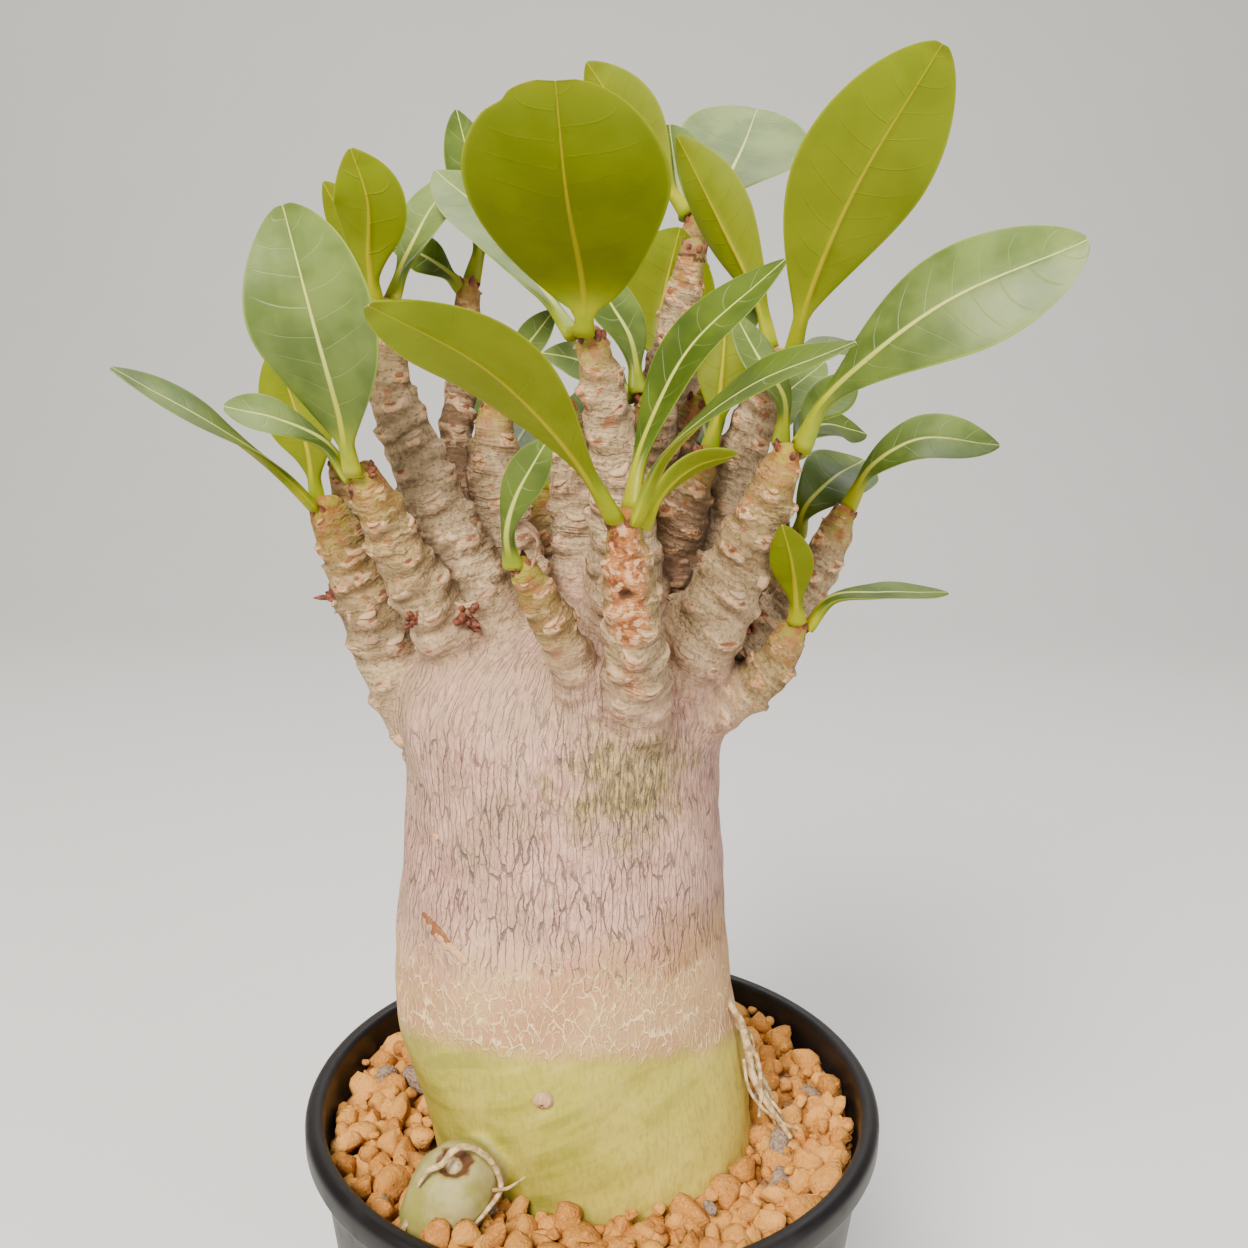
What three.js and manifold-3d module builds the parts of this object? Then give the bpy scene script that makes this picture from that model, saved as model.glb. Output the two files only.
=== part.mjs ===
// A potted desert rose: one swollen caudex with short ringed branches and leathery leaves,
// standing in a bed of baked clay granules in a round black plastic pot.
// Millimetres, +Z up, +Y away from the viewer. The origin is the centre of the pot's flat base.

import * as THREE from 'three';
import { mergeVertices } from 'three/addons/utils/BufferGeometryUtils.js';
import Module from 'manifold-3d';

const wasm = await Module();
wasm.setup();

// Driving dimensions, in millimetres
const potHeight = 105;
const potRimRadius = 60;
const potBaseRadius = 45;
const potWall = 1.6;
const lipHeight = 6;
const lipWidth = 2;
const potSides = 32;
const drainHoles = 6;
const drainRadius = 4;
const drainCircle = 27;

const soilTop = 95.5;
const granuleSpacing = 8;
const granuleRadius = 4.3;
const granuleJitter = 2.2;
const granuleSeed = 23;
const footRadius = 33.5;
const clearance = 0.3;
const soilClearance = 0.4;

const trunkSides = 26;
const branchSides = 7;
const ringSpacing = 4.1;
const ringRelief = 0.06;
const trunkLump = 0.7;
const trunkSeed = 11;
const branchSeed = 100;
const rootSeed = 7;
const curlSeed = 5;

// How far small faces may move when a fused solid is simplified
const bladeDetail = 0.08;
const barkDetail = 0.3;
const soilDetail = 0.05;

const petioleHalf = 1.25;
const petioleThick = 2.3;
const bladeThick = 0.8;
const bladeTipHalf = 0.5;
const petioleShare = 0.08;
const bladeBase = 0.92;
const broadLeafHalf = 7;

// Seeded random draw, so that every run gives the same plant
function makeRandom(seed) {
  let state = seed;
  return () => {
    state = (state * 1664525 + 1013904223) % 4294967296;
    return state / 4294967296;
  };
}

function vec(point) {
  return new THREE.Vector3(point[0], point[1], point[2]);
}

// A solid from shared points and triangles
function solidFrom(points, triangles) {
  const vertProperties = new Float32Array(points.length * 3);
  points.forEach((p, i) => vertProperties.set([p.x, p.y, p.z], i * 3));
  const triVerts = new Uint32Array(triangles.flat());
  return new wasm.Manifold(new wasm.Mesh({ numProp: 3, vertProperties, triVerts }));
}

// A solid from a three.js geometry whose faces close on themselves
function solidFromGeometry(geometry) {
  const plain = geometry.clone();
  plain.deleteAttribute('normal');
  plain.deleteAttribute('uv');
  const merged = mergeVertices(plain, 1e-4);
  return new wasm.Manifold(new wasm.Mesh({
    numProp: 3,
    vertProperties: new Float32Array(merged.attributes.position.array),
    triVerts: new Uint32Array(merged.index.array),
  }));
}

// The main body of a fused solid, without loose scraps and needless small faces
function tidied(solid, detail) {
  const bodies = solid.simplify(detail).decompose();
  return bodies.sort((a, b) => b.volume() - a.volume())[0];
}

function meshFrom(name, solid, material, detail) {
  const data = tidied(solid, detail).getMesh();
  const geometry = new THREE.BufferGeometry();
  geometry.setAttribute('position', new THREE.BufferAttribute(data.vertProperties, 3));
  geometry.setIndex(new THREE.BufferAttribute(data.triVerts, 1));
  geometry.computeVertexNormals();
  const mesh = new THREE.Mesh(geometry, material);
  mesh.name = name;
  return mesh;
}

function turned(profile, sides) {
  const outline = profile.map(([radius, height]) => new THREE.Vector2(radius, height));
  const geometry = new THREE.LatheGeometry(outline, sides);
  geometry.rotateX(Math.PI / 2);
  return solidFromGeometry(geometry);
}

// Stacked rings of points become one closed skin with a fan at each end
function skinRings(rings, startPoint, endPoint) {
  const sides = rings[0].length;
  const points = rings.flat();
  const start = points.length;
  points.push(startPoint);
  const end = points.length;
  points.push(endPoint);
  const triangles = [];
  const last = (rings.length - 1) * sides;
  for (let j = 0; j < sides; j += 1) {
    const k = (j + 1) % sides;
    triangles.push([start, k, j]);
    for (let i = 0; i < rings.length - 1; i += 1) {
      const a = i * sides;
      const b = a + sides;
      triangles.push([a + j, a + k, b + k], [a + j, b + k, b + j]);
    }
    triangles.push([end, last + j, last + k]);
  }
  return solidFrom(points, triangles);
}

// Round tapering limb along a smooth path, with its radius given at each path point.
// Every other ring stands out a little, as the scars of fallen leaves do.
function limbSolid(path, radii, options = {}) {
  const { sides = branchSides, relief = ringRelief, extra = 0, seed = 1 } = options;
  const random = makeRandom(seed);
  const curve = new THREE.CatmullRomCurve3(path.map(vec), false, 'centripetal');
  const count = Math.max(3, Math.round(curve.getLength() / ringSpacing));
  const rings = [];
  let across = new THREE.Vector3(1, 0, 0);
  for (let i = 0; i <= count; i += 1) {
    const along = i / count;
    const centre = curve.getPoint(along);
    const tangent = curve.getTangent(along);
    across = across.clone().addScaledVector(tangent, -across.dot(tangent)).normalize();
    const other = new THREE.Vector3().crossVectors(tangent, across);
    const place = along * (radii.length - 1);
    const step = Math.min(Math.floor(place), radii.length - 2);
    const radius = radii[step] + (radii[step + 1] - radii[step]) * (place - step);
    const ring = [];
    for (let j = 0; j < sides; j += 1) {
      const angle = (j / sides) * Math.PI * 2;
      const wobble = relief * ((i % 2 === 0 ? 1 : -1) + (random() - 0.5));
      const reach = radius * (1 + wobble) + extra;
      ring.push(centre.clone()
        .addScaledVector(across, Math.cos(angle) * reach)
        .addScaledVector(other, Math.sin(angle) * reach));
    }
    rings.push(ring);
  }
  const first = curve.getPoint(0);
  const tip = curve.getPoint(1);
  const tipRadius = radii[radii.length - 1];
  const crown = tip.addScaledVector(curve.getTangent(1), tipRadius * 0.45 + extra);
  return skinRings(rings, first, crown);
}

// Pot, a plain tapered shell with a thick rounded lip and drain holes
function potSolid() {
  const lipFoot = potHeight - lipHeight;
  const wallAt = (height) => potBaseRadius
    + ((potRimRadius - lipWidth - potBaseRadius) * height) / potHeight;
  const shell = turned([
    [0, 0],
    [potBaseRadius - 1.5, 0],
    [wallAt(1.5), 1.5],
    [wallAt(lipFoot), lipFoot],
    [potRimRadius - 0.6, lipFoot + 0.4],
    [potRimRadius, lipFoot + 1.4],
    [potRimRadius, potHeight - 1.6],
    [potRimRadius - 0.8, potHeight - 0.3],
    [potRimRadius - 2, potHeight],
    [potRimRadius - 3.2, potHeight - 0.4],
    [potRimRadius - 3.9, potHeight - 1.8],
    [wallAt(lipFoot) - potWall, lipFoot - 2],
    [wallAt(potWall) - potWall, potWall + 0.6],
    [0, potWall + 0.6],
  ], potSides);
  let pot = shell;
  for (let i = 0; i < drainHoles; i += 1) {
    const angle = (i / drainHoles) * Math.PI * 2;
    const hole = new THREE.CylinderGeometry(drainRadius, drainRadius, 12, 8);
    hole.rotateX(Math.PI / 2);
    hole.translate(Math.cos(angle) * drainCircle, Math.sin(angle) * drainCircle, 0);
    pot = pot.subtract(solidFromGeometry(hole));
  }
  return pot;
}

// Trunk sections, bottom to top: height, centre x, centre y, half width, half depth.
// The lowest four are the foot that stands in the soil.
const trunkSections = [
  [58, 1, 1, 12, 12],
  [66, 1, 1, 24, 23],
  [78, 1, 0, 31, 30],
  [90, 1, 0, 33.6, 32.6],
  [100.4, -0.5, 0, 34, 33.5],
  [108.5, -2, 0, 34.3, 33.6],
  [115.7, -3.9, 0, 34.6, 33.6],
  [123.8, -5.9, 0, 34.8, 33.6],
  [132.7, -6.6, 0, 34.4, 33.2],
  [142, -6.8, 0, 33.8, 32.6],
  [150.6, -6.5, 0, 33, 32],
  [159.6, -6, 0, 32.1, 31.2],
  [168.1, -6.3, 0, 31.7, 30.6],
  [178.7, -6.6, 0, 31.6, 30],
  [188, -7, 0, 33, 29.5],
  [196, -7, 0, 31.5, 27],
  [203, -6, 0, 25, 21],
  [208, -5, 0, 14, 12],
];

function trunkSolid(extra, sections) {
  const random = makeRandom(trunkSeed);
  const rings = sections.map(([height, x, y, halfWidth, halfDepth]) => {
    const ring = [];
    for (let j = 0; j < trunkSides; j += 1) {
      const angle = (j / trunkSides) * Math.PI * 2;
      const lump = (random() - 0.5) * trunkLump;
      ring.push(new THREE.Vector3(
        x + Math.cos(angle) * (halfWidth + lump + extra),
        y + Math.sin(angle) * (halfDepth + lump + extra),
        height,
      ));
    }
    return ring;
  });
  const [low, high] = [sections[0], sections[sections.length - 1]];
  const bottom = new THREE.Vector3(low[1], low[2], low[0] - 3 - extra);
  const top = new THREE.Vector3(high[1], high[2], high[0] + 2);
  return skinRings(rings, bottom, top);
}

// Branches: centreline from root to tip, and radius at each of its points
const branches = {
  far_left: {
    path: [[-27, -1, 176], [-35, -2, 188], [-41.5, -3, 202], [-46, -5, 216], [-51, -6, 228]],
    radii: [7.5, 7.5, 6.4, 5.2, 4.2],
  },
  far_left_back: {
    path: [[-44, -1, 212], [-48, 2, 226], [-50, 3, 236]],
    radii: [4, 3.4, 3],
  },
  left_front: {
    path: [[-24, -9, 198], [-30, -15, 211], [-35, -20, 222], [-38, -23, 231], [-40, -25, 237]],
    radii: [7, 5.6, 4.5, 3.9, 2.9],
  },
  left_main: {
    path: [[-18, -8, 194], [-24, -8, 211], [-29, -8, 226], [-34, -8, 239], [-38, -8, 250],
      [-39, -8, 265]],
    radii: [11, 8, 5.9, 4.8, 4, 2.8],
  },
  left_high: {
    path: [[-26, -3, 218], [-28, 5, 238], [-27, 9, 253], [-26, 12, 270]],
    radii: [4.4, 3, 2.7, 2.5],
  },
  mid_left: {
    path: [[-9, 0, 196], [-15, 0, 212], [-19, 1, 226], [-20, 2, 239], [-20, 2, 247]],
    radii: [9, 6.4, 5.2, 4.4, 3.5],
  },
  mid_back: {
    path: [[-2, 8, 202], [-4, 10, 222], [-6, 10, 236], [-7, 9, 247]],
    radii: [8, 5.4, 4.3, 3],
  },
  front_small: {
    path: [[-1, -24, 197], [-5, -31, 208], [-9, -35, 217], [-12, -38, 223]],
    radii: [5, 3.6, 3.2, 2.4],
  },
  front_mid: {
    path: [[8, -22, 190], [7.5, -30, 202], [6.5, -38, 215], [5, -42, 231]],
    radii: [6, 5.2, 4.4, 3.4],
  },
  front_high: {
    path: [[5, -8, 200], [5, -16, 222], [3, -21, 241], [1, -24, 251], [-1, -26, 260]],
    radii: [9.5, 6.2, 4.2, 3.7, 2.9],
  },
  front_high_twig: {
    path: [[5, -16, 232], [7, -16, 243], [8, -17.5, 250]],
    radii: [2.6, 2.1, 1.8],
  },
  back_high: {
    path: [[11, 6, 205], [10, 5, 232], [11.5, 0, 250], [14, -3, 262], [17, -5, 276]],
    radii: [8, 4.8, 3.4, 3.2, 2.8],
  },
  back_short: {
    path: [[10, 6, 222], [15, 8, 240], [19, 9, 248]],
    radii: [5, 3.6, 2.6],
  },
  back_hidden: {
    path: [[6, 18, 198], [13, 22, 225], [16, 25, 250], [19, 27, 284]],
    radii: [8, 5, 4, 2.8],
  },
  mid_right: {
    path: [[10, -4, 205], [14, -6, 222], [17, -8, 232], [20, -8, 239]],
    radii: [7, 5, 4, 3],
  },
  right_high: {
    path: [[12, 0, 196], [20, 0, 216], [25, 0, 232], [30, 0, 246], [34, 0, 257]],
    radii: [9, 6.6, 5, 4, 3],
  },
  right_front: {
    path: [[12, -10, 194], [21, -17, 210], [26, -20, 222], [30, -22, 232], [33, -24, 241]],
    radii: [9, 7, 5.2, 4.2, 3],
  },
  right_far: {
    path: [[18, 4, 186], [31, 5, 199], [40, 5, 210], [45, 5, 219], [48, 5, 227]],
    radii: [8.5, 6, 4.4, 3.8, 3],
  },
  right_back: {
    path: [[18, 12, 196], [31, 14, 208], [40, 15, 221]],
    radii: [7, 4.6, 2.8],
  },
  right_low: {
    path: [[14, -12, 188], [25, -15, 194.5], [32, -16.5, 200.5], [37, -17, 209.5]],
    radii: [7, 4.9, 3.9, 2.8],
  },
  back_left_low: {
    path: [[-18, 12, 190], [-27, 23, 202], [-33, 31, 213]],
    radii: [7.5, 5, 3],
  },
  back_left: {
    path: [[-10, 14, 196], [-18, 22, 214], [-22, 28, 231]],
    radii: [7.5, 4.8, 3],
  },
  back_mid: {
    path: [[-5, 16, 196], [-10, 27, 212], [-13, 34, 226]],
    radii: [7.5, 4.8, 3],
  },
  back_low: {
    path: [[1, 17, 187], [5, 31, 198], [7, 41, 208.5]],
    radii: [7.5, 4.8, 2.8],
  },
  back_right_low: {
    path: [[12, 15, 189], [24, 26, 199.5], [31, 33, 209.5]],
    radii: [7.5, 4.8, 2.8],
  },
  back_right: {
    path: [[10, 12, 197], [20, 20, 214], [27, 25, 230.5]],
    radii: [7.5, 4.8, 3],
  },
  bud_stub: {
    path: [[-40, -4, 203], [-47, -5, 209], [-51, -5, 211.5]],
    radii: [3.4, 2.2, 1.2],
  },
};

// The side root swells out of the trunk above the soil as a round knob and dives beside it
const sideRoot = {
  path: [[-12, -22, 106], [-19, -29, 108.5], [-25, -35.5, 107], [-30, -39, 101.5],
    [-31.5, -40.5, 94]],
  radii: [6.5, 7.4, 7.8, 6.2, 4],
};

// Dry roots that hang from the trunk over the granules
const dryRoots = [
  {
    path: [[27, -10, 129.9], [29.9, -9.5, 125], [31.6, -9, 118.7], [32.6, -10, 113.4],
      [35.9, -11, 107.3], [40.5, -13.5, 101.5]],
    radii: [0.9, 1.1, 1.1, 1, 0.9, 0.8],
  },
  {
    path: [[27, -6, 125], [31.8, -5, 118.8], [34.1, -6, 112.2], [37.4, -7, 106]],
    radii: [0.8, 1, 0.9, 0.7],
  },
];

function sideRootSolid(extra) {
  return limbSolid(sideRoot.path, sideRoot.radii, {
    seed: rootSeed, sides: 12, relief: 0.02, extra,
  });
}

function dryRootSolid(root, extra) {
  return limbSolid(root.path, root.radii, { seed: rootSeed, sides: 5, relief: 0.1, extra });
}

function caudexSolid() {
  let caudex = trunkSolid(0, trunkSections);
  Object.values(branches).forEach((branch, i) => {
    caudex = caudex.add(limbSolid(branch.path, branch.radii, { seed: branchSeed + i }));
  });
  dryRoots.forEach((root) => {
    caudex = caudex.add(dryRootSolid(root, 0));
  });
  return caudex.add(sideRootSolid(0));
}

// Bed of granules that fills the pot up to a little under its lip
function soilSolid() {
  const potBore = (height) => potBaseRadius - potWall - clearance
    + ((potRimRadius - lipWidth - potBaseRadius) * height) / potHeight;
  const floor = potWall + 0.6 + clearance;
  const highest = soilTop + granuleRadius * 2;
  let soil = turned([
    [0, floor],
    [potBore(floor), floor],
    [potBore(soilTop), soilTop],
    [0, soilTop],
  ], potSides);
  const random = makeRandom(granuleSeed);
  const rowStep = granuleSpacing * Math.sqrt(3) * 0.5;
  const rows = Math.ceil(potRimRadius / rowStep);
  for (let row = -rows; row <= rows; row += 1) {
    for (let column = -rows; column <= rows; column += 1) {
      const x = (column + (row % 2) * 0.5) * granuleSpacing + (random() - 0.5) * granuleJitter;
      const y = row * rowStep + (random() - 0.5) * granuleJitter;
      const size = granuleRadius * (0.85 + random() * 0.3);
      const lift = random() * 1.8 - 0.4;
      const granule = granuleSolid(x, y, soilTop + lift, size, random);
      const reach = Math.hypot(x, y);
      const onTrunk = Math.hypot(x - 0.5, y) < footRadius;
      if (reach < potBore(soilTop) + 0.5 && !onTrunk) {
        soil = soil.add(granule);
      }
    }
  }
  const room = turned([
    [0, floor],
    [potBore(floor), floor],
    [potBore(highest), highest],
    [0, highest],
  ], potSides);
  const foot = trunkSolid(soilClearance, trunkSections.slice(0, 7));
  dryRoots.forEach((root) => {
    soil = soil.subtract(dryRootSolid(root, soilClearance));
  });
  return soil.intersect(room).subtract(foot).subtract(sideRootSolid(soilClearance));
}

// One baked granule, an uneven block turned any way
function granuleSolid(x, y, z, size, random) {
  const block = new THREE.BoxGeometry(1.5, 1.3, 1.15);
  block.deleteAttribute('normal');
  block.deleteAttribute('uv');
  const merged = mergeVertices(block, 1e-4);
  const turn = new THREE.Euler(random() * 6, random() * 6, random() * 6);
  const place = merged.attributes.position;
  const corner = new THREE.Vector3();
  for (let i = 0; i < place.count; i += 1) {
    corner.fromBufferAttribute(place, i).applyEuler(turn);
    corner.multiplyScalar(size * (0.85 + random() * 0.3));
    place.setXYZ(i, x + corner.x, y + corner.y, z + corner.z);
  }
  return solidFromGeometry(merged);
}

// Leaves: midrib from its root on the branch to its tip, the way its upper side faces,
// half width, where along the blade it is widest, how blunt its tip is, and how it is cupped
const leaves = {
  leaf_front_high_round: {
    midrib: [[-2, -29.5, 260], [-2, -32, 267], [-4, -48, 280], [-5, -60.5, 293.3]],
    face: [0.05, 0.95, 0.25], half: 15.6, widest: 0.6, blunt: 0.5, cup: 0.1,
  },
  leaf_front_high_back: {
    midrib: [[-4, -25, 260], [-10, -15, 268], [-19, -4, 280], [-31, 4, 290]],
    face: [0.3, -0.7, 0.6], half: 8.5, widest: 0.65, cup: 0.15,
  },
  leaf_right_high_big: {
    midrib: [[36, -2, 257.5], [37.5, -7, 267], [43.5, -16, 285], [54.5, -28, 306]],
    face: [-0.1, 0.95, 0.3], half: 11.9, widest: 0.57, blunt: 0.62, cup: 0.08,
  },
  leaf_right_high_folded: {
    midrib: [[32, 2, 258.5], [30, 4, 267], [23, 7, 281], [14, 11, 298]],
    face: [0.55, 0.8, 0.2], half: 6.5, widest: 0.6, cup: 0.35,
  },
  leaf_right_high_low: {
    midrib: [[36, 2.5, 256.5], [40, 5, 258.5], [45, 8, 259], [52, 9, 258]],
    face: [0, -0.4, 0.9], half: 4, widest: 0.6, cup: 0.1,
  },
  leaf_right_front_big: {
    midrib: [[35, -26, 241.5], [38, -29, 249.5], [54, -37, 265], [75, -43, 275]],
    face: [-0.25, -0.8, 0.55], half: 10, widest: 0.64, blunt: 0.62, cup: -0.12,
  },
  leaf_right_front_slim: {
    midrib: [[32, -22, 242], [32.5, -17, 250], [29, -13, 256], [24, -8, 265]],
    face: [0.3, -0.9, 0.2], half: 3.4, widest: 0.6, cup: 0.1,
  },
  leaf_right_front_dark: {
    midrib: [[35, -21, 240.5], [37, -12, 243], [43.5, 1, 244.5], [53, 11, 242]],
    face: [0, -0.75, 0.65], half: 5, widest: 0.6, cup: 0.1,
  },
  leaf_right_front_short: {
    midrib: [[35.5, -23.5, 242.5], [38, -17, 247], [42, -12, 250], [47, -6, 254]],
    face: [0, -0.8, 0.5], half: 4, widest: 0.6, cup: 0.1,
  },
  leaf_left_front_big: {
    midrib: [[-41, -28, 236.5], [-42, -32, 246], [-44.5, -38, 262], [-49, -36, 279.5]],
    face: [-0.25, -0.95, 0.15], half: 10.8, widest: 0.56, blunt: 0.56, cup: 0.08,
  },
  leaf_left_front_low: {
    midrib: [[-42.5, -25, 236], [-46, -29, 242], [-52, -33, 246], [-60, -36, 248]],
    face: [0.1, -0.6, 0.75], half: 4.6, widest: 0.7, blunt: 0.6, cup: 0.1,
  },
  leaf_left_main_yellow: {
    midrib: [[-40, -10, 265], [-40, -14, 273], [-39, -19, 282], [-41, -22, 290]],
    face: [0.1, 0.95, 0.2], half: 6.3, widest: 0.6, cup: 0.12,
  },
  leaf_left_main_back: {
    midrib: [[-40.5, -6, 265.5], [-44.5, 0, 274], [-48, 3, 281], [-52, 5, 288]],
    face: [0.3, 0.9, 0.3], half: 4.8, widest: 0.6, cup: 0.12,
  },
  leaf_left_main_pale: {
    midrib: [[-37.5, -7, 266], [-35, -4, 274], [-32, 1, 282], [-27, 6, 290]],
    face: [-0.3, -0.8, 0.5], half: 5.2, widest: 0.62, cup: 0.12,
  },
  leaf_left_high_tall: {
    midrib: [[-25.5, 12.5, 270.5], [-24, 16, 279], [-26, 22, 291], [-30, 28, 305]],
    face: [0.3, -0.8, 0.4], half: 5.5, widest: 0.6, cup: 0.12,
  },
  leaf_left_high_low: {
    midrib: [[-27.5, 11, 269.5], [-31, 9, 273], [-35, 8, 275.5], [-40, 7, 276.5]],
    face: [0, -0.8, 0.6], half: 4.3, widest: 0.6, cup: 0.12,
  },
  leaf_back_hidden_tall: {
    midrib: [[17, 25.5, 285], [11.5, 30, 293], [4.5, 34, 304], [-4, 36, 316]],
    face: [0.2, 0.9, 0.3], half: 7.5, widest: 0.6, cup: 0.12,
  },
  leaf_back_hidden_dark: {
    midrib: [[17, 28.5, 284.5], [15.5, 34, 291], [14.5, 39, 298], [13.5, 42, 305]],
    face: [0, -0.5, 0.8], half: 6, widest: 0.68, blunt: 0.6, cup: 0.12,
  },
  leaf_back_hidden_broad: {
    midrib: [[21, 28, 284.5], [25, 38, 292], [30, 50, 302], [34, 62, 312]],
    face: [0, -0.75, 0.65], half: 14.5, widest: 0.66, blunt: 0.55, cup: 0.06,
  },
  leaf_back_high_olive: {
    midrib: [[11, 1.5, 253.5], [11, 5, 262], [12.5, 7.5, 271], [15, 9, 281]],
    face: [-0.1, 0.9, 0.3], half: 10.5, widest: 0.56, cup: 0.05,
  },
  leaf_twig_pale: {
    midrib: [[7, -18.5, 250.5], [5.5, -16, 260], [2, -14, 266], [-2, -13, 273]],
    face: [0.3, -0.8, 0.5], half: 4.8, widest: 0.6, cup: 0.12,
  },
  leaf_twig_low: {
    midrib: [[6, -16.5, 249.5], [2, -9, 253], [-4, -6, 256], [-10.5, -5.5, 257]],
    face: [0, -0.8, 0.6], half: 4.2, widest: 0.6, cup: 0.12,
  },
  leaf_front_mid_left: {
    midrib: [[3.5, -44, 231.5], [-2, -52, 241.5], [-14, -66, 255], [-28, -77, 263]],
    face: [0.35, 0.75, 0.55], half: 8.6, widest: 0.64, blunt: 0.58, cup: 0.08,
  },
  leaf_front_mid_right: {
    midrib: [[7, -44, 231.5], [11, -52, 242], [22, -66, 253], [35, -75, 259]],
    face: [-0.35, -0.35, 0.85], half: 5.6, widest: 0.62, cup: 0.12,
  },
  leaf_front_mid_small: {
    midrib: [[8, -41.5, 230], [11, -41.5, 236], [16, -41, 240], [23, -40, 242]],
    face: [-0.2, 0.6, 0.75], half: 3.2, widest: 0.62, cup: 0.1,
  },
  leaf_front_mid_upright: {
    midrib: [[6, -39.5, 232.5], [8.5, -36.5, 244], [15, -36, 258], [30, -38, 272]],
    face: [-0.6, -0.6, 0.5], half: 5.6, widest: 0.58, cup: 0.14,
  },
  leaf_back_short_dark: {
    midrib: [[20, 10, 248.5], [24, 13, 255], [27, 16, 264], [31, 18, 274]],
    face: [-0.5, -0.8, 0.3], half: 5.2, widest: 0.62, cup: 0.12,
  },
  leaf_mid_right_olive: {
    midrib: [[20.5, -8, 240], [22, -5, 246], [23, -1, 254], [24, 4, 268]],
    face: [0.1, 0.95, 0.1], half: 5.2, widest: 0.6, cup: 0.1,
  },
  leaf_right_far_pale: {
    midrib: [[49, 5, 228], [53, 4, 236], [61, 0, 242], [76, -2, 241]],
    face: [0, -0.7, 0.7], half: 6, widest: 0.62, cup: 0.1,
  },
  leaf_right_back_broad: {
    midrib: [[41, 15, 221.5], [42, 11, 228], [47, 13, 233], [55, 23, 236]],
    face: [0, -0.65, 0.75], half: 7.5, widest: 0.6, blunt: 0.6, cup: 0.08,
  },
  leaf_right_low_upright: {
    midrib: [[36.5, -19, 210], [35.5, -22, 217], [34, -26, 223], [32, -28, 229]],
    face: [0.1, 0.95, 0.1], half: 3.8, widest: 0.6, cup: 0.1,
  },
  leaf_right_low_flat: {
    midrib: [[39, -16.5, 208.5], [43, -17.5, 214], [51, -18, 215.5], [64, -18, 215.5]],
    face: [0, -0.2, 1], half: 4.6, widest: 0.62, cup: 0.06,
  },
  leaf_front_small_slim: {
    midrib: [[-13, -39, 223], [-13.5, -42, 229], [-12, -43, 235], [-7, -44, 244]],
    face: [-0.2, -0.95, 0.2], half: 3.4, widest: 0.68, blunt: 0.6, cup: 0.1,
  },
  leaf_far_left_long: {
    midrib: [[-53, -8, 228.5], [-57, -14, 235], [-65, -24, 244], [-80, -31, 254]],
    face: [0.1, -0.35, 0.9], half: 5, widest: 0.66, cup: 0.15,
  },
  leaf_far_left_olive: {
    midrib: [[-53, -5, 229], [-54, -6, 239], [-57, -4, 248], [-61, -2, 258]],
    face: [0.3, 0.9, 0.1], half: 8.5, widest: 0.6, cup: 0.1,
  },
  leaf_back_left_low: {
    midrib: [[-33.5, 32.5, 213.5], [-35, 40, 219], [-38, 50, 224], [-40, 60, 226]],
    face: [0, -0.55, 0.83], half: 7, widest: 0.62, cup: 0.1,
  },
  leaf_back_left_up: {
    midrib: [[-22.5, 28.5, 232], [-23, 34, 240], [-25, 41, 249], [-28, 48, 257]],
    face: [0, -0.8, 0.6], half: 6.5, widest: 0.62, cup: 0.1,
  },
  leaf_back_left_out: {
    midrib: [[-21, 30.5, 230], [-20, 38, 235.5], [-18, 48, 240], [-16, 58, 242]],
    face: [0, -0.45, 0.9], half: 6, widest: 0.62, cup: 0.1,
  },
  leaf_back_mid_up: {
    midrib: [[-11.5, 34.5, 227.5], [-8, 41, 235], [-3, 47, 244], [1, 52, 252]],
    face: [0, -0.7, 0.7], half: 6.5, widest: 0.62, cup: 0.1,
  },
  leaf_back_mid_out: {
    midrib: [[-14.5, 35.5, 225.5], [-16, 43, 230.5], [-17, 52, 234], [-18, 62, 235]],
    face: [0, -0.45, 0.9], half: 7.5, widest: 0.62, cup: 0.08,
  },
  leaf_back_low_out: {
    midrib: [[8.2, 42.5, 208.5], [10, 50, 214.5], [11, 60, 220], [13, 70, 222]],
    face: [0, -0.45, 0.9], half: 7.5, widest: 0.62, cup: 0.08,
  },
  leaf_back_low_up: {
    midrib: [[5, 41.5, 209.5], [2, 48, 217], [-4, 56, 223], [-10, 62, 227]],
    face: [0, -0.6, 0.8], half: 5.5, widest: 0.62, cup: 0.1,
  },
  leaf_back_right_low_out: {
    midrib: [[32.5, 34, 209.5], [35, 42, 214.5], [37, 52, 219], [40, 62, 221]],
    face: [0, -0.45, 0.9], half: 7, widest: 0.62, cup: 0.08,
  },
  leaf_back_right_low_up: {
    midrib: [[29.3, 33.8, 210.5], [27.5, 42, 219], [25, 51, 226], [22, 59, 231]],
    face: [0, -0.7, 0.7], half: 5.5, widest: 0.62, cup: 0.1,
  },
  leaf_back_right_out: {
    midrib: [[28.7, 25.5, 230.5], [33, 31, 239], [39, 37, 248], [49, 42, 256]],
    face: [-0.3, -0.7, 0.6], half: 8, widest: 0.62, cup: 0.08,
  },
  leaf_back_right_up: {
    midrib: [[25.4, 26, 231.5], [23, 33, 238.5], [21, 42, 246], [17, 50, 253]],
    face: [0, -0.7, 0.7], half: 6, widest: 0.62, cup: 0.1,
  },
  leaf_mid_left_slim: {
    midrib: [[-19.5, 0.5, 248], [-17, 0, 254], [-13, -2, 259], [-8, -4, 265]],
    face: [0, -0.8, 0.6], half: 3.4, widest: 0.62, cup: 0.12,
  },
};

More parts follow.
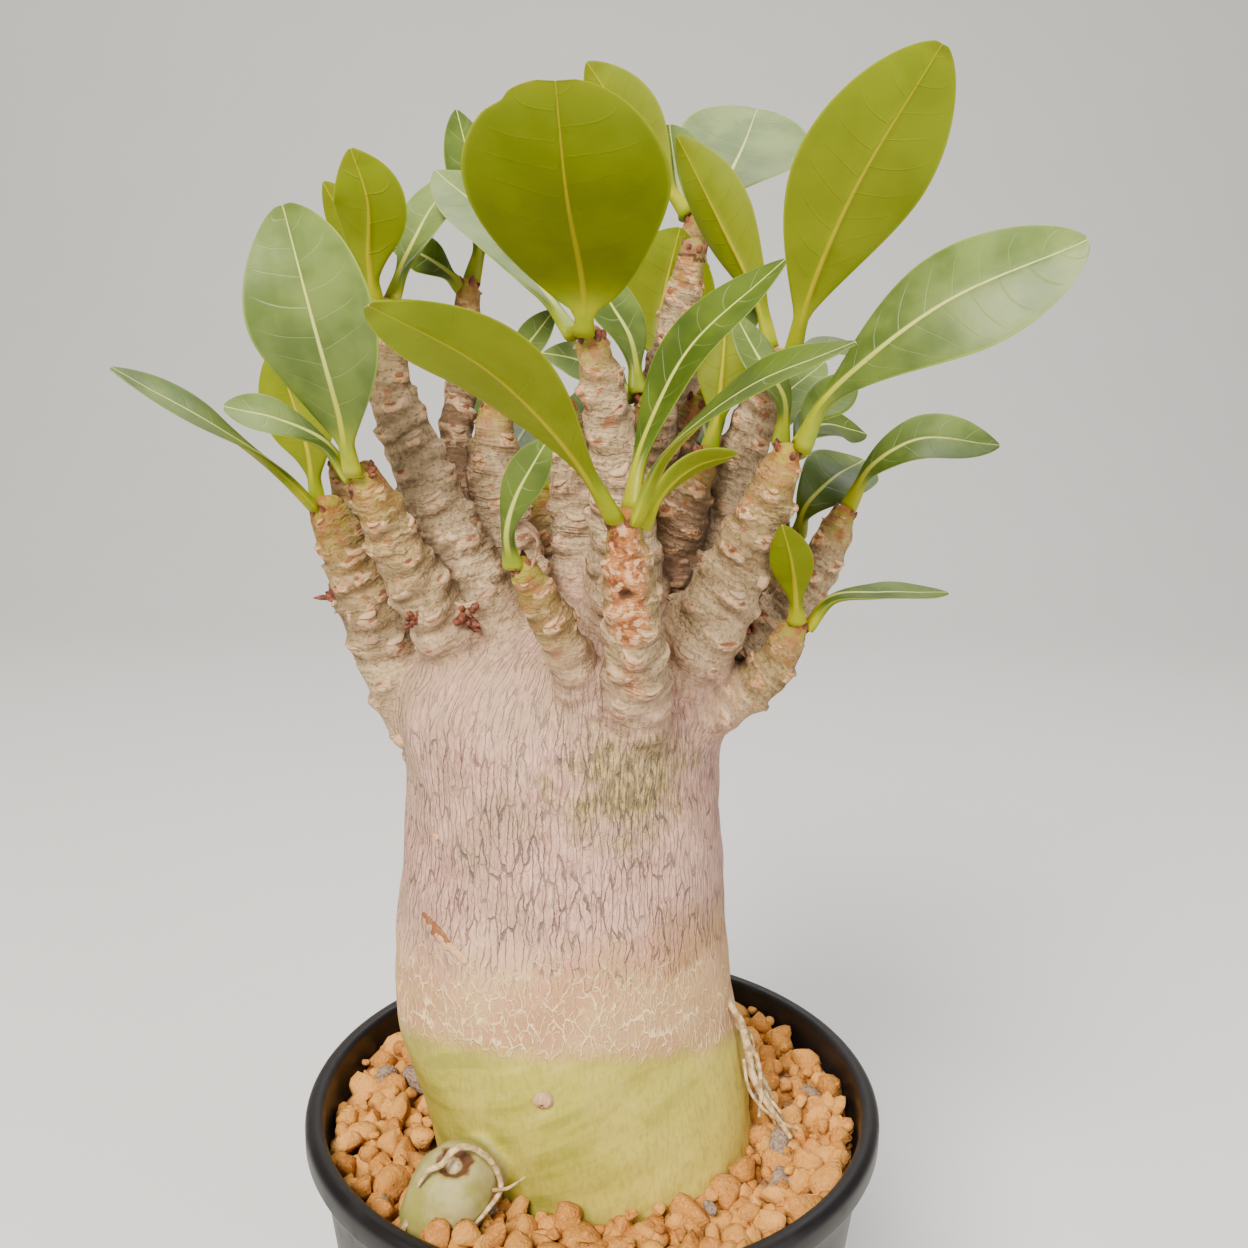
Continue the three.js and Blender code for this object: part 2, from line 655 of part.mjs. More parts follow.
// The blade narrows evenly into its stalk, and more or less bluntly into its tip
function bladeWidth(along, leaf) {
  const bend = Math.log(0.5) / Math.log(leaf.widest);
  const shape = along < leaf.widest ? bladeBase : leaf.blunt ?? 0.75;
  return leaf.half * Math.sin(Math.PI * along ** bend) ** shape;
}

function leafSolid(leaf) {
  const curve = new THREE.CatmullRomCurve3(leaf.midrib.map(vec), false, 'centripetal');
  const face = vec(leaf.face).normalize();
  const broad = leaf.half > broadLeafHalf;
  const shares = broad ? [-1, -0.5, 0, 0.5, 1] : [-1, 0, 1];
  const stations = broad ? 7 : 6;
  const upper = [];
  const lower = [];
  for (let i = 0; i <= stations; i += 1) {
    const along = 1 - (1 - i / stations) ** 1.3;
    const centre = curve.getPoint(along);
    const tangent = curve.getTangent(along);
    const side = new THREE.Vector3().crossVectors(tangent, face).normalize();
    const normal = new THREE.Vector3().crossVectors(side, tangent);
    const blade = Math.max(0, (along - petioleShare) / (1 - petioleShare));
    const stalk = petioleHalf * (1 - 0.2 * along);
    const half = i === stations ? bladeTipHalf : Math.max(stalk, bladeWidth(blade, leaf));
    const thinning = Math.max(0, 1 - blade * 3.2) ** 1.5;
    const thick = bladeThick + (petioleThick - bladeThick) * thinning;
    shares.forEach((share) => {
      const lift = leaf.cup * half * Math.abs(share) ** 1.6;
      const level = centre.clone()
        .addScaledVector(side, share * half)
        .addScaledVector(normal, lift);
      const rim = 1 - 0.2 * Math.abs(share);
      upper.push(level.clone().addScaledVector(normal, thick * 0.5 * rim));
      lower.push(level.clone().addScaledVector(normal, -thick * 0.5 * rim));
    });
  }
  const width = shares.length;
  const below = upper.length;
  const triangles = [];
  for (let i = 0; i < stations; i += 1) {
    for (let j = 0; j < width - 1; j += 1) {
      const a = i * width + j;
      const [b, c, d] = [a + 1, a + width + 1, a + width];
      triangles.push([a, b, c], [a, c, d]);
      triangles.push([below + a, below + c, below + b], [below + a, below + d, below + c]);
    }
    const left = i * width;
    const right = left + width - 1;
    triangles.push([left, left + width, below + left + width]);
    triangles.push([left, below + left + width, below + left]);
    triangles.push([right, below + right + width, right + width]);
    triangles.push([right, below + right, below + right + width]);
  }
  const tipRow = stations * width;
  for (let j = 0; j < width - 1; j += 1) {
    triangles.push([j, below + j + 1, j + 1], [j, below + j, below + j + 1]);
    const a = tipRow + j;
    triangles.push([a, a + 1, below + a + 1], [a, below + a + 1, below + a]);
  }
  return solidFrom([...upper, ...lower], triangles);
}

// The dry leaf on the small front branch is a narrow strip that has curled over
const witheredCurl = {
  path: [[-10, -38.5, 224], [-9, -39.5, 228], [-11, -40.5, 230], [-14, -40, 229],
    [-14.5, -39, 227]],
  radii: [0.7, 0.9, 0.9, 0.7, 0.5],
};

const barkMaterial = new THREE.MeshStandardMaterial({ color: 0xaca084, roughness: 0.8 });
const leafMaterial = new THREE.MeshStandardMaterial({ color: 0x86962f, roughness: 0.45 });
const witheredMaterial = new THREE.MeshStandardMaterial({ color: 0xb08a6a, roughness: 0.8 });
const soilMaterial = new THREE.MeshStandardMaterial({ color: 0xc99a5e, roughness: 0.95 });
const potMaterial = new THREE.MeshStandardMaterial({ color: 0x2b2830, roughness: 0.5 });

const plant = new THREE.Group();
plant.add(meshFrom('pot', potSolid(), potMaterial, bladeDetail));
plant.add(meshFrom('soil', soilSolid(), soilMaterial, soilDetail));
plant.add(meshFrom('caudex', caudexSolid(), barkMaterial, barkDetail));

// Each leaf is trimmed where it meets the branches, so that it sits snugly on its own tip
const branchRoom = Object.values(branches)
  .map((branch, i) => limbSolid(branch.path, branch.radii, {
    seed: branchSeed + i, extra: clearance,
  }))
  .reduce((whole, room) => whole.add(room));
Object.entries(leaves).forEach(([name, leaf]) => {
  plant.add(meshFrom(name, leafSolid(leaf).subtract(branchRoom), leafMaterial, bladeDetail));
});
const curl = limbSolid(witheredCurl.path, witheredCurl.radii, {
  seed: curlSeed, sides: 6, relief: 0.1,
});
plant.add(meshFrom('withered_leaf', curl.subtract(branchRoom), witheredMaterial, bladeDetail));

export default plant;
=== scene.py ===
import math
from functools import partial

import bmesh
import bpy
import numpy as np
from mathutils import Matrix, Vector
from mathutils.bvhtree import BVHTree
from mathutils.kdtree import KDTree


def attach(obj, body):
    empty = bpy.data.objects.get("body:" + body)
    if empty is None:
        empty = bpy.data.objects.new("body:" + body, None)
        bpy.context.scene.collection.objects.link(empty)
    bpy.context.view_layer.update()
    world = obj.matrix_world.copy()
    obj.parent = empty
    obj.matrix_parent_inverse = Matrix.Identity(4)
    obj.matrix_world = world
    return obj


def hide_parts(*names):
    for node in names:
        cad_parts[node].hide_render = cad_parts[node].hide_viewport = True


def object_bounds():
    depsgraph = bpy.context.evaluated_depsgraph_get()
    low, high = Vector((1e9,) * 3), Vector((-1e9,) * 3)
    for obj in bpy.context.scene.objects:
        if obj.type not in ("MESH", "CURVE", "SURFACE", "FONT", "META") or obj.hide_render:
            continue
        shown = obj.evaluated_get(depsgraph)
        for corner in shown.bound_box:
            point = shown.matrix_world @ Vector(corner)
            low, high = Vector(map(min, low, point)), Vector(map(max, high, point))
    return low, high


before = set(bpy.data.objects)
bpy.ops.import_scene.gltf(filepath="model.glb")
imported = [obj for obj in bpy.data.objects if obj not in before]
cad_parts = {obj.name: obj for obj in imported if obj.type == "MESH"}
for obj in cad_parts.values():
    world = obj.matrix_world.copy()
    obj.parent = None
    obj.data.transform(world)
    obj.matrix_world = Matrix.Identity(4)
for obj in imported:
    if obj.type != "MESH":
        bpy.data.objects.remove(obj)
cad_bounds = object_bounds()

# A potted desert rose. All lengths below are in millimetres and become metres in the meshes.
MM = 0.001
LOW_CORNER = np.array(cad_bounds[0]) / MM + 0.1
HIGH_CORNER = np.array(cad_bounds[1]) / MM - 0.1

# The viewing point: level with the leaves, looking a little down, rolled by less than a degree
EYE = (5.2, -240.5, 257.2)
PITCH = 12.2
ROLL = -0.72
LENS = 36.06

# The pot and its bed
POT_HEIGHT = 105
POT_RIM_RADIUS = 60
POT_BASE_RADIUS = 45
POT_WALL = 1.6
LIP_HEIGHT = 6
LIP_WIDTH = 2
HOLES = 6
HOLE_RADIUS = 4
HOLE_DISTANCE = 27
SOIL_TOP = 95.5
GRANULE_KINDS = 8
POT_SIDES = 192
HOLE_SIDES = 28
BED_SIDES = 96

# The bark: the grain of its mesh, how far a crease is filled, the trunk's radius where its cracks
# are unrolled, and the leaf scars' spacing, reach and pads
SKIN_VOXEL = 0.85
BLEND = 6.0
KNOB_BLEND = 2.0
TRUNK_SIDES = 96
LIMB_SIDES = 48
UNROLLED_RADIUS = 31
SCAR_STEP = 1.5
SCAR_REACH = 6
PAD_KINDS = 4
PAD_HALF_HEIGHT = 0.42
PAD_THICK = 0.8
GOLDEN_ANGLE = math.radians(137.5)

# A full turn as the random draws take it, and a plane in front of the whole plant
TURN = 6.28
IN_FRONT = -120

# The leaves
PETIOLE_HALF = 1.3
PETIOLE_THICK = 2.3
PETIOLE_SHARE = 0.08
BLADE_THICK = 0.62
BLADE_STATIONS = 54
BLADE_BASE = 0.92
VEIN_STEP = 5.2

# Trunk sections, bottom to top: height, centre x, centre y, half width, half depth
TRUNK = [(58, 1, 1, 12, 12), (66, 1, 1, 24, 23), (78, 1, 0, 31, 30), (90, 1, 0, 33.6, 32.6),
         (100.4, -0.5, 0, 34, 33.5), (108.5, -2, 0, 34.3, 33.6), (115.7, -3.9, 0, 34.6, 33.6),
         (123.8, -5.9, 0, 34.8, 33.6), (132.7, -6.6, 0, 34.4, 33.2), (142, -6.8, 0, 33.8, 32.6),
         (150.6, -6.5, 0, 33, 32), (159.6, -6, 0, 32.1, 31.2), (168.1, -6.3, 0, 31.7, 30.6),
         (178.7, -6.6, 0, 31.6, 30), (188, -7, 0, 33, 29.5), (196, -7, 0, 31.5, 27),
         (203, -6, 0, 25, 21), (208, -5, 0, 14, 12)]

# Limbs, root to tip: x, y, z and radius at each point of the centreline
LIMBS = {
    "far_left": [(-27, -1, 176, 7.5), (-35, -2, 188, 7.5), (-41.5, -3, 202, 6.4),
        (-46, -5, 216, 5.2), (-51, -6, 228, 4.2)],
    "far_left_back": [(-44, -1, 212, 4), (-48, 2, 226, 3.4), (-50, 3, 236, 3)],
    "left_front": [(-24, -9, 198, 7), (-30, -15, 211, 5.6), (-35, -20, 222, 4.5),
        (-38, -23, 231, 3.9), (-40, -25, 237, 2.9)],
    "left_main": [(-18, -8, 194, 11), (-24, -8, 211, 8), (-29, -8, 226, 5.9), (-34, -8, 239, 4.8),
        (-38, -8, 250, 4), (-39, -8, 265, 2.8)],
    "left_high": [(-26, -3, 218, 4.4), (-28, 5, 238, 3), (-27, 9, 253, 2.7), (-26, 12, 270, 2.5)],
    "mid_left": [(-9, 0, 196, 9), (-15, 0, 212, 6.4), (-19, 1, 226, 5.2), (-20, 2, 239, 4.4),
        (-20, 2, 247, 3.5)],
    "mid_back": [(-2, 8, 202, 8), (-4, 10, 222, 5.4), (-6, 10, 236, 4.3), (-7, 9, 247, 3)],
    "front_small": [(-1, -24, 197, 5), (-5, -31, 208, 3.6), (-9, -35, 217, 3.2),
        (-12, -38, 223, 2.4)],
    "front_mid": [(8, -22, 190, 6), (7.5, -30, 202, 5.2), (6.5, -38, 215, 4.4), (5, -42, 231, 3.4)],
    "front_high": [(5, -8, 200, 9.5), (5, -16, 222, 6.2), (3, -21, 241, 4.2), (1, -24, 251, 3.7),
        (-1, -26, 260, 2.9)],
    "front_high_twig": [(5, -16, 232, 2.6), (7, -16, 243, 2.1), (8, -17.5, 250, 1.8)],
    "back_high": [(11, 6, 205, 8), (10, 5, 232, 4.8), (11.5, 0, 250, 3.4), (14, -3, 262, 3.2),
        (17, -5, 276, 2.8)],
    "back_short": [(10, 6, 222, 5), (15, 8, 240, 3.6), (19, 9, 248, 2.6)],
    "back_hidden": [(6, 18, 198, 8), (13, 22, 225, 5), (16, 25, 250, 4), (19, 27, 284, 2.8)],
    "mid_right": [(10, -4, 205, 7), (14, -6, 222, 5), (17, -8, 232, 4), (20, -8, 239, 3)],
    "right_high": [(12, 0, 196, 9), (20, 0, 216, 6.6), (25, 0, 232, 5), (30, 0, 246, 4),
        (34, 0, 257, 3)],
    "right_front": [(12, -10, 194, 9), (21, -17, 210, 7), (26, -20, 222, 5.2), (30, -22, 232, 4.2),
        (33, -24, 241, 3)],
    "right_far": [(18, 4, 186, 8.5), (31, 5, 199, 6), (40, 5, 210, 4.4), (45, 5, 219, 3.8),
        (48, 5, 227, 3)],
    "right_back": [(18, 12, 196, 7), (31, 14, 208, 4.6), (40, 15, 221, 2.8)],
    "right_low": [(14, -12, 188, 7), (25, -15, 194.5, 4.9), (32, -16.5, 200.5, 3.9),
        (37, -17, 209.5, 2.8)],
    "back_left_low": [(-18, 12, 190, 7.5), (-27, 23, 202, 5), (-33, 31, 213, 3)],
    "back_left": [(-10, 14, 196, 7.5), (-18, 22, 214, 4.8), (-22, 28, 231, 3)],
    "back_mid": [(-5, 16, 196, 7.5), (-10, 27, 212, 4.8), (-13, 34, 226, 3)],
    "back_low": [(1, 17, 187, 7.5), (5, 31, 198, 4.8), (7, 41, 208.5, 2.8)],
    "back_right_low": [(12, 15, 189, 7.5), (24, 26, 199.5, 4.8), (31, 33, 209.5, 2.8)],
    "back_right": [(10, 12, 197, 7.5), (20, 20, 214, 4.8), (27, 25, 230.5, 3)],
    "bud_stub": [(-40, -4, 203, 3.4), (-47, -5, 209, 2.2), (-51, -5, 211.5, 1.2)],
    "side_root": [(-14, -22, 102, 4.5), (-20, -29, 105, 4.6), (-24.6, -35.2, 105.8, 8.1),
        (-27.6, -37.6, 100.6, 7.4), (-29, -38.6, 93, 5)],
}

# Leaves: the midrib from root to tip, the way the upper side faces, half width, where the blade
# is widest, how blunt its tip is, how it is cupped, and how pale or young it looks from 0 to 1.
# Where the last is missing, it is drawn at random
LEAVES = {
    "front_high_round": (((-2, -29.5, 260), (-2, -32, 267), (-4, -48, 280), (-5, -60.5, 293.3)),
        (0.05, 0.95, 0.25), 15.4, 0.6, 0.5, 0.1, 0.35),
    "front_high_back": (((-4, -25, 260), (-10, -15, 268), (-19, -4, 280), (-31, 4, 290)),
        (0.3, -0.7, 0.6), 8.5, 0.65, 0.75, 0.15, 0.65),
    "right_high_big": (((36, -2, 257.5), (37.5, -7, 267), (43.5, -16, 285), (54.5, -28, 306)),
        (-0.1, 0.95, 0.3), 11.9, 0.57, 0.62, 0.08, 0.8),
    "right_high_folded": (((32, 2, 258.5), (30, 4, 267), (23, 7, 281), (14, 11, 298)),
        (0.55, 0.8, 0.2), 6.5, 0.6, 0.75, 0.35, 0.4),
    "right_high_low": (((36, 2.5, 256.5), (40, 5, 258.5), (45, 8, 259), (52, 9, 258)),
        (0, -0.4, 0.9), 4, 0.6, 0.75, 0.1),
    "right_front_big": (((35, -26, 241.5), (38, -29, 249.5), (54, -37, 265), (75, -43, 275)),
        (-0.25, -0.8, 0.55), 10, 0.64, 0.62, -0.12, 0.6),
    "right_front_slim": (((32, -22, 242), (32.5, -17, 250), (29, -13, 256), (24, -8, 265)),
        (0.3, -0.9, 0.2), 3.4, 0.6, 0.75, 0.1),
    "right_front_dark": (((35, -21, 240.5), (37, -12, 243), (43.5, 1, 244.5), (53, 11, 242)),
        (0, -0.75, 0.65), 5, 0.6, 0.75, 0.1, 0.1),
    "right_front_short": (((35.5, -23.5, 242.5), (38, -17, 247), (42, -12, 250), (47, -6, 254)),
        (0, -0.8, 0.5), 4, 0.6, 0.75, 0.1),
    "left_front_big": (((-41, -28, 236.5), (-42, -32, 246), (-44.5, -38, 262), (-49, -36, 279.5)),
        (-0.25, -0.95, 0.15), 10.8, 0.56, 0.56, 0.08, 0.55),
    "left_front_low": (((-42.5, -25, 236), (-46, -29, 242), (-52, -33, 246), (-60, -36, 248)),
        (0.1, -0.6, 0.75), 4.6, 0.7, 0.6, 0.1, 0.6),
    "left_main_yellow": (((-40, -10, 265), (-40, -14, 273), (-39, -19, 282), (-41, -22, 290)),
        (0.1, 0.95, 0.2), 6.3, 0.6, 0.75, 0.12, 0.7),
    "left_main_back": (((-40.5, -6, 265.5), (-44.5, 0, 274), (-48, 3, 281), (-52, 5, 288)),
        (0.3, 0.9, 0.3), 4.8, 0.6, 0.75, 0.12),
    "left_main_pale": (((-37.5, -7, 266), (-35, -4, 274), (-32, 1, 282), (-27, 6, 290)),
        (-0.3, -0.8, 0.5), 5.2, 0.62, 0.75, 0.12, 0.8),
    "left_high_tall": (((-25.5, 12.5, 270.5), (-24, 16, 279), (-26, 22, 291), (-30, 28, 305)),
        (0.3, -0.8, 0.4), 5.5, 0.6, 0.75, 0.12),
    "left_high_low": (((-27.5, 11, 269.5), (-31, 9, 273), (-35, 8, 275.5), (-40, 7, 276.5)),
        (0, -0.8, 0.6), 4.3, 0.6, 0.75, 0.12, 0.1),
    "back_hidden_tall": (((17, 25.5, 285), (11.5, 30, 293), (4.5, 34, 304), (-4, 36, 316)),
        (0.2, 0.9, 0.3), 7.5, 0.6, 0.75, 0.12),
    "back_hidden_dark": (((17, 28.5, 284.5), (15.5, 34, 291), (14.5, 39, 298), (13.5, 42, 305)),
        (0, -0.5, 0.8), 6, 0.68, 0.6, 0.12),
    "back_hidden_broad": (((21, 28, 284.5), (25, 38, 292), (30, 50, 302), (34, 62, 312)),
        (0, -0.75, 0.65), 14.5, 0.66, 0.55, 0.06, 0.6),
    "back_high_olive": (((11, 1.5, 253.5), (11, 5, 262), (12.5, 7.5, 271), (15, 9, 281)),
        (-0.1, 0.9, 0.3), 10.5, 0.56, 0.75, 0.05, 0.0),
    "twig_pale": (((7, -18.5, 250.5), (5.5, -16, 260), (2, -14, 266), (-2, -13, 273)),
        (0.3, -0.8, 0.5), 4.8, 0.6, 0.75, 0.12, 0.3),
    "twig_low": (((6, -16.5, 249.5), (2, -9, 253), (-4, -6, 256), (-10.5, -5.5, 257)),
        (0, -0.8, 0.6), 4.2, 0.6, 0.75, 0.12),
    "front_mid_left": (((3.5, -44, 231.5), (-2, -52, 241.5), (-14, -66, 255), (-28, -77, 263)),
        (0.35, 0.75, 0.55), 8.6, 0.64, 0.58, 0.08, 0.75),
    "front_mid_right": (((7, -44, 231.5), (11, -52, 242), (22, -66, 253), (35, -75, 259)),
        (-0.35, -0.35, 0.85), 5.6, 0.62, 0.75, 0.12, 0.0),
    "front_mid_small": (((8, -41.5, 230), (11, -41.5, 236), (16, -41, 240), (23, -40, 242)),
        (-0.2, 0.6, 0.75), 3.2, 0.62, 0.75, 0.1),
    "front_mid_upright": (((6, -39.5, 232.5), (8.5, -36.5, 244), (15, -36, 258), (30, -38, 272)),
        (-0.6, -0.6, 0.5), 5.6, 0.58, 0.75, 0.14, 0.05),
    "back_short_dark": (((20, 10, 248.5), (24, 13, 255), (27, 16, 264), (31, 18, 274)),
        (-0.5, -0.8, 0.3), 5.2, 0.62, 0.75, 0.12),
    "mid_right_olive": (((20.5, -8, 240), (22, -5, 246), (23, -1, 254), (24, 4, 268)),
        (0.1, 0.95, 0.1), 5.2, 0.6, 0.75, 0.1),
    "right_far_pale": (((49, 5, 228), (53, 4, 236), (61, 0, 242), (76, -2, 241)), (0, -0.7, 0.7), 6,
        0.62, 0.75, 0.1, 0.55),
    "right_back_broad": (((41, 15, 221.5), (42, 11, 228), (47, 13, 233), (55, 23, 236)),
        (0, -0.65, 0.75), 7.5, 0.6, 0.6, 0.08, 0.2),
    "right_low_upright": (((36.5, -19, 210), (35.5, -22, 217), (34, -26, 223), (32, -28, 229)),
        (0.1, 0.95, 0.1), 3.8, 0.6, 0.75, 0.1),
    "right_low_flat": (((39, -16.5, 208.5), (43, -17.5, 214), (51, -18, 215.5), (64, -18, 215.5)),
        (0, -0.2, 1), 4.6, 0.62, 0.75, 0.06, 0.05),
    "front_small_slim": (((-13, -39, 223), (-13.5, -42, 229), (-12, -43, 235), (-7, -44, 244)),
        (-0.2, -0.95, 0.2), 3.4, 0.68, 0.6, 0.1),
    "far_left_long": (((-53, -8, 228.5), (-57, -14, 235), (-65, -24, 244), (-80, -31, 254)),
        (0.1, -0.35, 0.9), 5, 0.66, 0.75, 0.15),
    "far_left_olive": (((-53, -5, 229), (-54, -6, 239), (-57, -4, 248), (-61, -2, 258)),
        (0.3, 0.9, 0.1), 8.5, 0.6, 0.75, 0.1),
    "back_left_low": (((-33.5, 32.5, 213.5), (-35, 40, 219), (-38, 50, 224), (-40, 60, 226)),
        (0, -0.55, 0.83), 7, 0.62, 0.75, 0.1),
    "back_left_up": (((-22.5, 28.5, 232), (-23, 34, 240), (-25, 41, 249), (-28, 48, 257)),
        (0, -0.8, 0.6), 6.5, 0.62, 0.75, 0.1),
    "back_left_out": (((-21, 30.5, 230), (-20, 38, 235.5), (-18, 48, 240), (-16, 58, 242)),
        (0, -0.45, 0.9), 6, 0.62, 0.75, 0.1),
    "back_mid_up": (((-11.5, 34.5, 227.5), (-8, 41, 235), (-3, 47, 244), (1, 52, 252)),
        (0, -0.7, 0.7), 6.5, 0.62, 0.75, 0.1),
    "back_mid_out": (((-14.5, 35.5, 225.5), (-16, 43, 230.5), (-17, 52, 234), (-18, 62, 235)),
        (0, -0.45, 0.9), 7.5, 0.62, 0.75, 0.08),
    "back_low_out": (((8.2, 42.5, 208.5), (10, 50, 214.5), (11, 60, 220), (13, 70, 222)),
        (0, -0.45, 0.9), 7.5, 0.62, 0.75, 0.08),
    "back_low_up": (((5, 41.5, 209.5), (2, 48, 217), (-4, 56, 223), (-10, 62, 227)), (0, -0.6, 0.8),
        5.5, 0.62, 0.75, 0.1),
    "back_right_low_out": (((32.5, 34, 209.5), (35, 42, 214.5), (37, 52, 219), (40, 62, 221)),
        (0, -0.45, 0.9), 7, 0.62, 0.75, 0.08),
    "back_right_low_up": (((29.3, 33.8, 210.5), (27.5, 42, 219), (25, 51, 226), (22, 59, 231)),
        (0, -0.7, 0.7), 5.5, 0.62, 0.75, 0.1),
    "back_right_out": (((28.7, 25.5, 230.5), (33, 31, 239), (39, 37, 248), (49, 42, 256)),
        (-0.3, -0.7, 0.6), 8, 0.62, 0.75, 0.08),
    "back_right_up": (((25.4, 26, 231.5), (23, 33, 238.5), (21, 42, 246), (17, 50, 253)),
        (0, -0.7, 0.7), 6, 0.62, 0.75, 0.1),
    "mid_left_slim": (((-19.5, 0.5, 248), (-17, 0, 254), (-13, -2, 259), (-8, -4, 265)),
        (0, -0.8, 0.6), 3.4, 0.62, 0.75, 0.12, 0.5),
}

# The dry roots that hang over the granules, and the withered leaf: x, y, z and radius
DRY_ROOTS = [
    [(-30.9, -40.9, 109.5, 0.35), (-29.0, -40.9, 112.5, 0.5), (-26.3, -40.8, 114.0, 0.6),
     (-24.4, -38.9, 115.6, 0.7), (-21.8, -37.8, 115.4, 0.6), (-18.7, -37.0, 112.8, 0.6),
     (-16.9, -36.0, 109.0, 0.6), (-16.2, -37.0, 106.3, 0.5), (-18.0, -40.4, 104.9, 0.45),
     (-20.7, -42.6, 102.6, 0.3)],
    [(-17.5, -38.5, 107.0, 0.4), (-14.8, -39.5, 108.2, 0.35), (-11.5, -39.8, 110.8, 0.15)],
    [(-31.5, -41.5, 104.5, 0.6), (-33.5, -42.5, 101.5, 0.6), (-33.5, -43.5, 98.0, 0.4)],
    [(27, -10, 129.9, 0.6), (29.9, -9.5, 125, 0.85), (31.6, -9, 118.7, 0.9),
     (32.6, -10, 113.4, 0.85), (35.9, -11, 107.3, 0.7), (40.5, -13.5, 101.5, 0.5)],
    [(27, -6, 125, 0.6), (31.8, -5, 118.8, 0.8), (34.1, -6, 112.2, 0.8), (37.4, -7, 106, 0.5)],
    [(31.0, -9, 121, 0.4), (33.6, -9.5, 116.5, 0.45), (34.4, -10.5, 110.5, 0.4),
     (34.0, -12.5, 105.5, 0.3)],
    [(33.8, -6, 112.6, 0.35), (35.2, -9, 109, 0.4), (38.4, -10.5, 105.5, 0.35),
     (39.2, -9, 102.5, 0.25)],
    [(29.5, -10, 126, 0.3), (32.8, -7.5, 119, 0.4), (32.2, -8.5, 114, 0.45),
     (35.8, -8.0, 108.5, 0.4), (37.5, -11.5, 103, 0.3)],
    [(30.5, -12, 118, 0.3), (31.8, -13.5, 112, 0.35), (36.2, -13.5, 106.5, 0.35),
     (42, -11.5, 101.8, 0.25)],
]
WITHERED = [(-10, -38.5, 223, 0.7), (-9, -39.5, 228, 1.3), (-11, -40.5, 230, 1.4),
            (-14, -40, 229, 1.0), (-14.5, -39, 227, 0.3)]

# How each limb's bark looks where it differs: -1 brown, 0 grey-pink, 1 olive
TONES = {
    "mid_left": 0.0, "mid_back": 0.0, "left_high": -0.9, "back_short": -0.8, "mid_right": -0.9,
    "front_mid": 0.6, "front_high": 0.2, "far_left": 0.9, "left_front": 0.9, "left_main": 0.4,
    "right_front": 0.8, "right_high": 0.1, "right_low": 0.6, "right_far": 0.2, "front_small": 0.9,
    "back_high": 0.1, "side_root": 1.0,
}
ROOT = "side_root"
CUT_LIMB = "back_high"

# Wounds in the bark: where, how wide, how deep
WOUNDS = [((-24.4, -38.2, 113.6), 4.3, 1.7), ((5.0, -45.0, 219.0), 1.9, 1.4)]

# The rusty scars on the front limb: the line of each, how wide it is and how strong
RUST = [((4.8, -46, 228), (6.0, -43, 213), 3.9, 1.0), ((6.3, -40, 206), (6.8, -37, 201), 3.4, 0.42)]

# Dead buds by x and z on the front of the plant, with their size
DEAD_BUDS = [
    (-23.9, 209.8, 3.6), (-32.7, 209.7, 2.3), (30.2, 204.4, 2.4), (31.8, 213.3, 2.4),
    (-45.2, 231.4, 2.0), (-38.5, 236.8, 1.8), (-50.4, 210.8, 2.3),
]

# Marks on the skin: the line that each follows by x and z, its half width and how old it looks
MARKS = [
    ([(-32.0, 152.6), (-28.2, 150.2), (-22.8, 146.8)], 1.55, 2.0),
    ([(-31.2, 151.5), (-27.8, 149.6), (-23.2, 146.9)], 1.0, 0.0),
    ([(-9.8, 122.3), (-8.7, 122.9), (-7.6, 122.2)], 1.9, 0.5),
    ([(-29.9, 168.9), (-29.0, 168.6)], 0.9, 0.0),
    ([(-38.2, 184.2), (-37.2, 183.4)], 1.8, 0.6),
]

# The round front leaf: fuller below, with a nick in its edge (side, place, width and depth)
ROUND_LEAF = "front_high_round"
ROUND_BASE = 0.4
NICK = (1, 0.92, 0.026, 0.12)

# Granules heaped against the side root: x, y, z and size
HEAP = [(-34, -43, 99.5, 2.4), (-29, -46, 100, 2.6), (-24, -48, 100, 2.9), (-18.5, -46.5, 100, 2.9),
        (-26.5, -46, 103.6, 2.4), (-21.5, -46, 103.6, 2.7), (-16, -44, 102.5, 2.5),
        (-13, -45.5, 100, 2.7)]


# ---------------------------------------------------------------- objects and meshes

def placed(name, data):
    made = bpy.data.objects.new(name, data)
    bpy.context.collection.objects.link(made)
    return made


def make_camera():
    pitch, roll = math.radians(PITCH), math.radians(ROLL)
    forward = Vector((0, math.cos(pitch), -math.sin(pitch)))
    upward = Vector((0, math.sin(pitch), math.cos(pitch)))
    right = Vector((1, 0, 0))
    across = right * math.cos(roll) - upward * math.sin(roll)
    up = right * math.sin(roll) + upward * math.cos(roll)
    data = bpy.data.cameras.new("camera")
    data.lens = LENS
    data.sensor_width = 36
    data.clip_start = 0.01
    camera = placed("camera", data)
    turn = Matrix((across, up, -forward)).transposed().to_4x4()
    camera.matrix_world = Matrix.Translation(Vector(EYE) * MM) @ turn
    bpy.context.scene.camera = camera


def soft_light(name, place, target, size, power, colour):
    data = bpy.data.lights.new(name, "AREA")
    data.shape = "DISK"
    data.size = size
    data.energy = power
    data.color = colour
    light = placed(name, data)
    light.location = place
    light.rotation_euler = (Vector(target) - Vector(place)).to_track_quat("-Z", "Y").to_euler()


def object_from(name, points, faces, materials):
    """A smooth mesh object from points in millimetres."""
    mesh = bpy.data.meshes.new(name)
    mesh.from_pydata([tuple(p) for p in np.asarray(points) * MM], [], faces)
    mesh.validate()
    for material in materials:
        mesh.materials.append(material)
    mesh.shade_smooth()
    return placed(name, mesh)


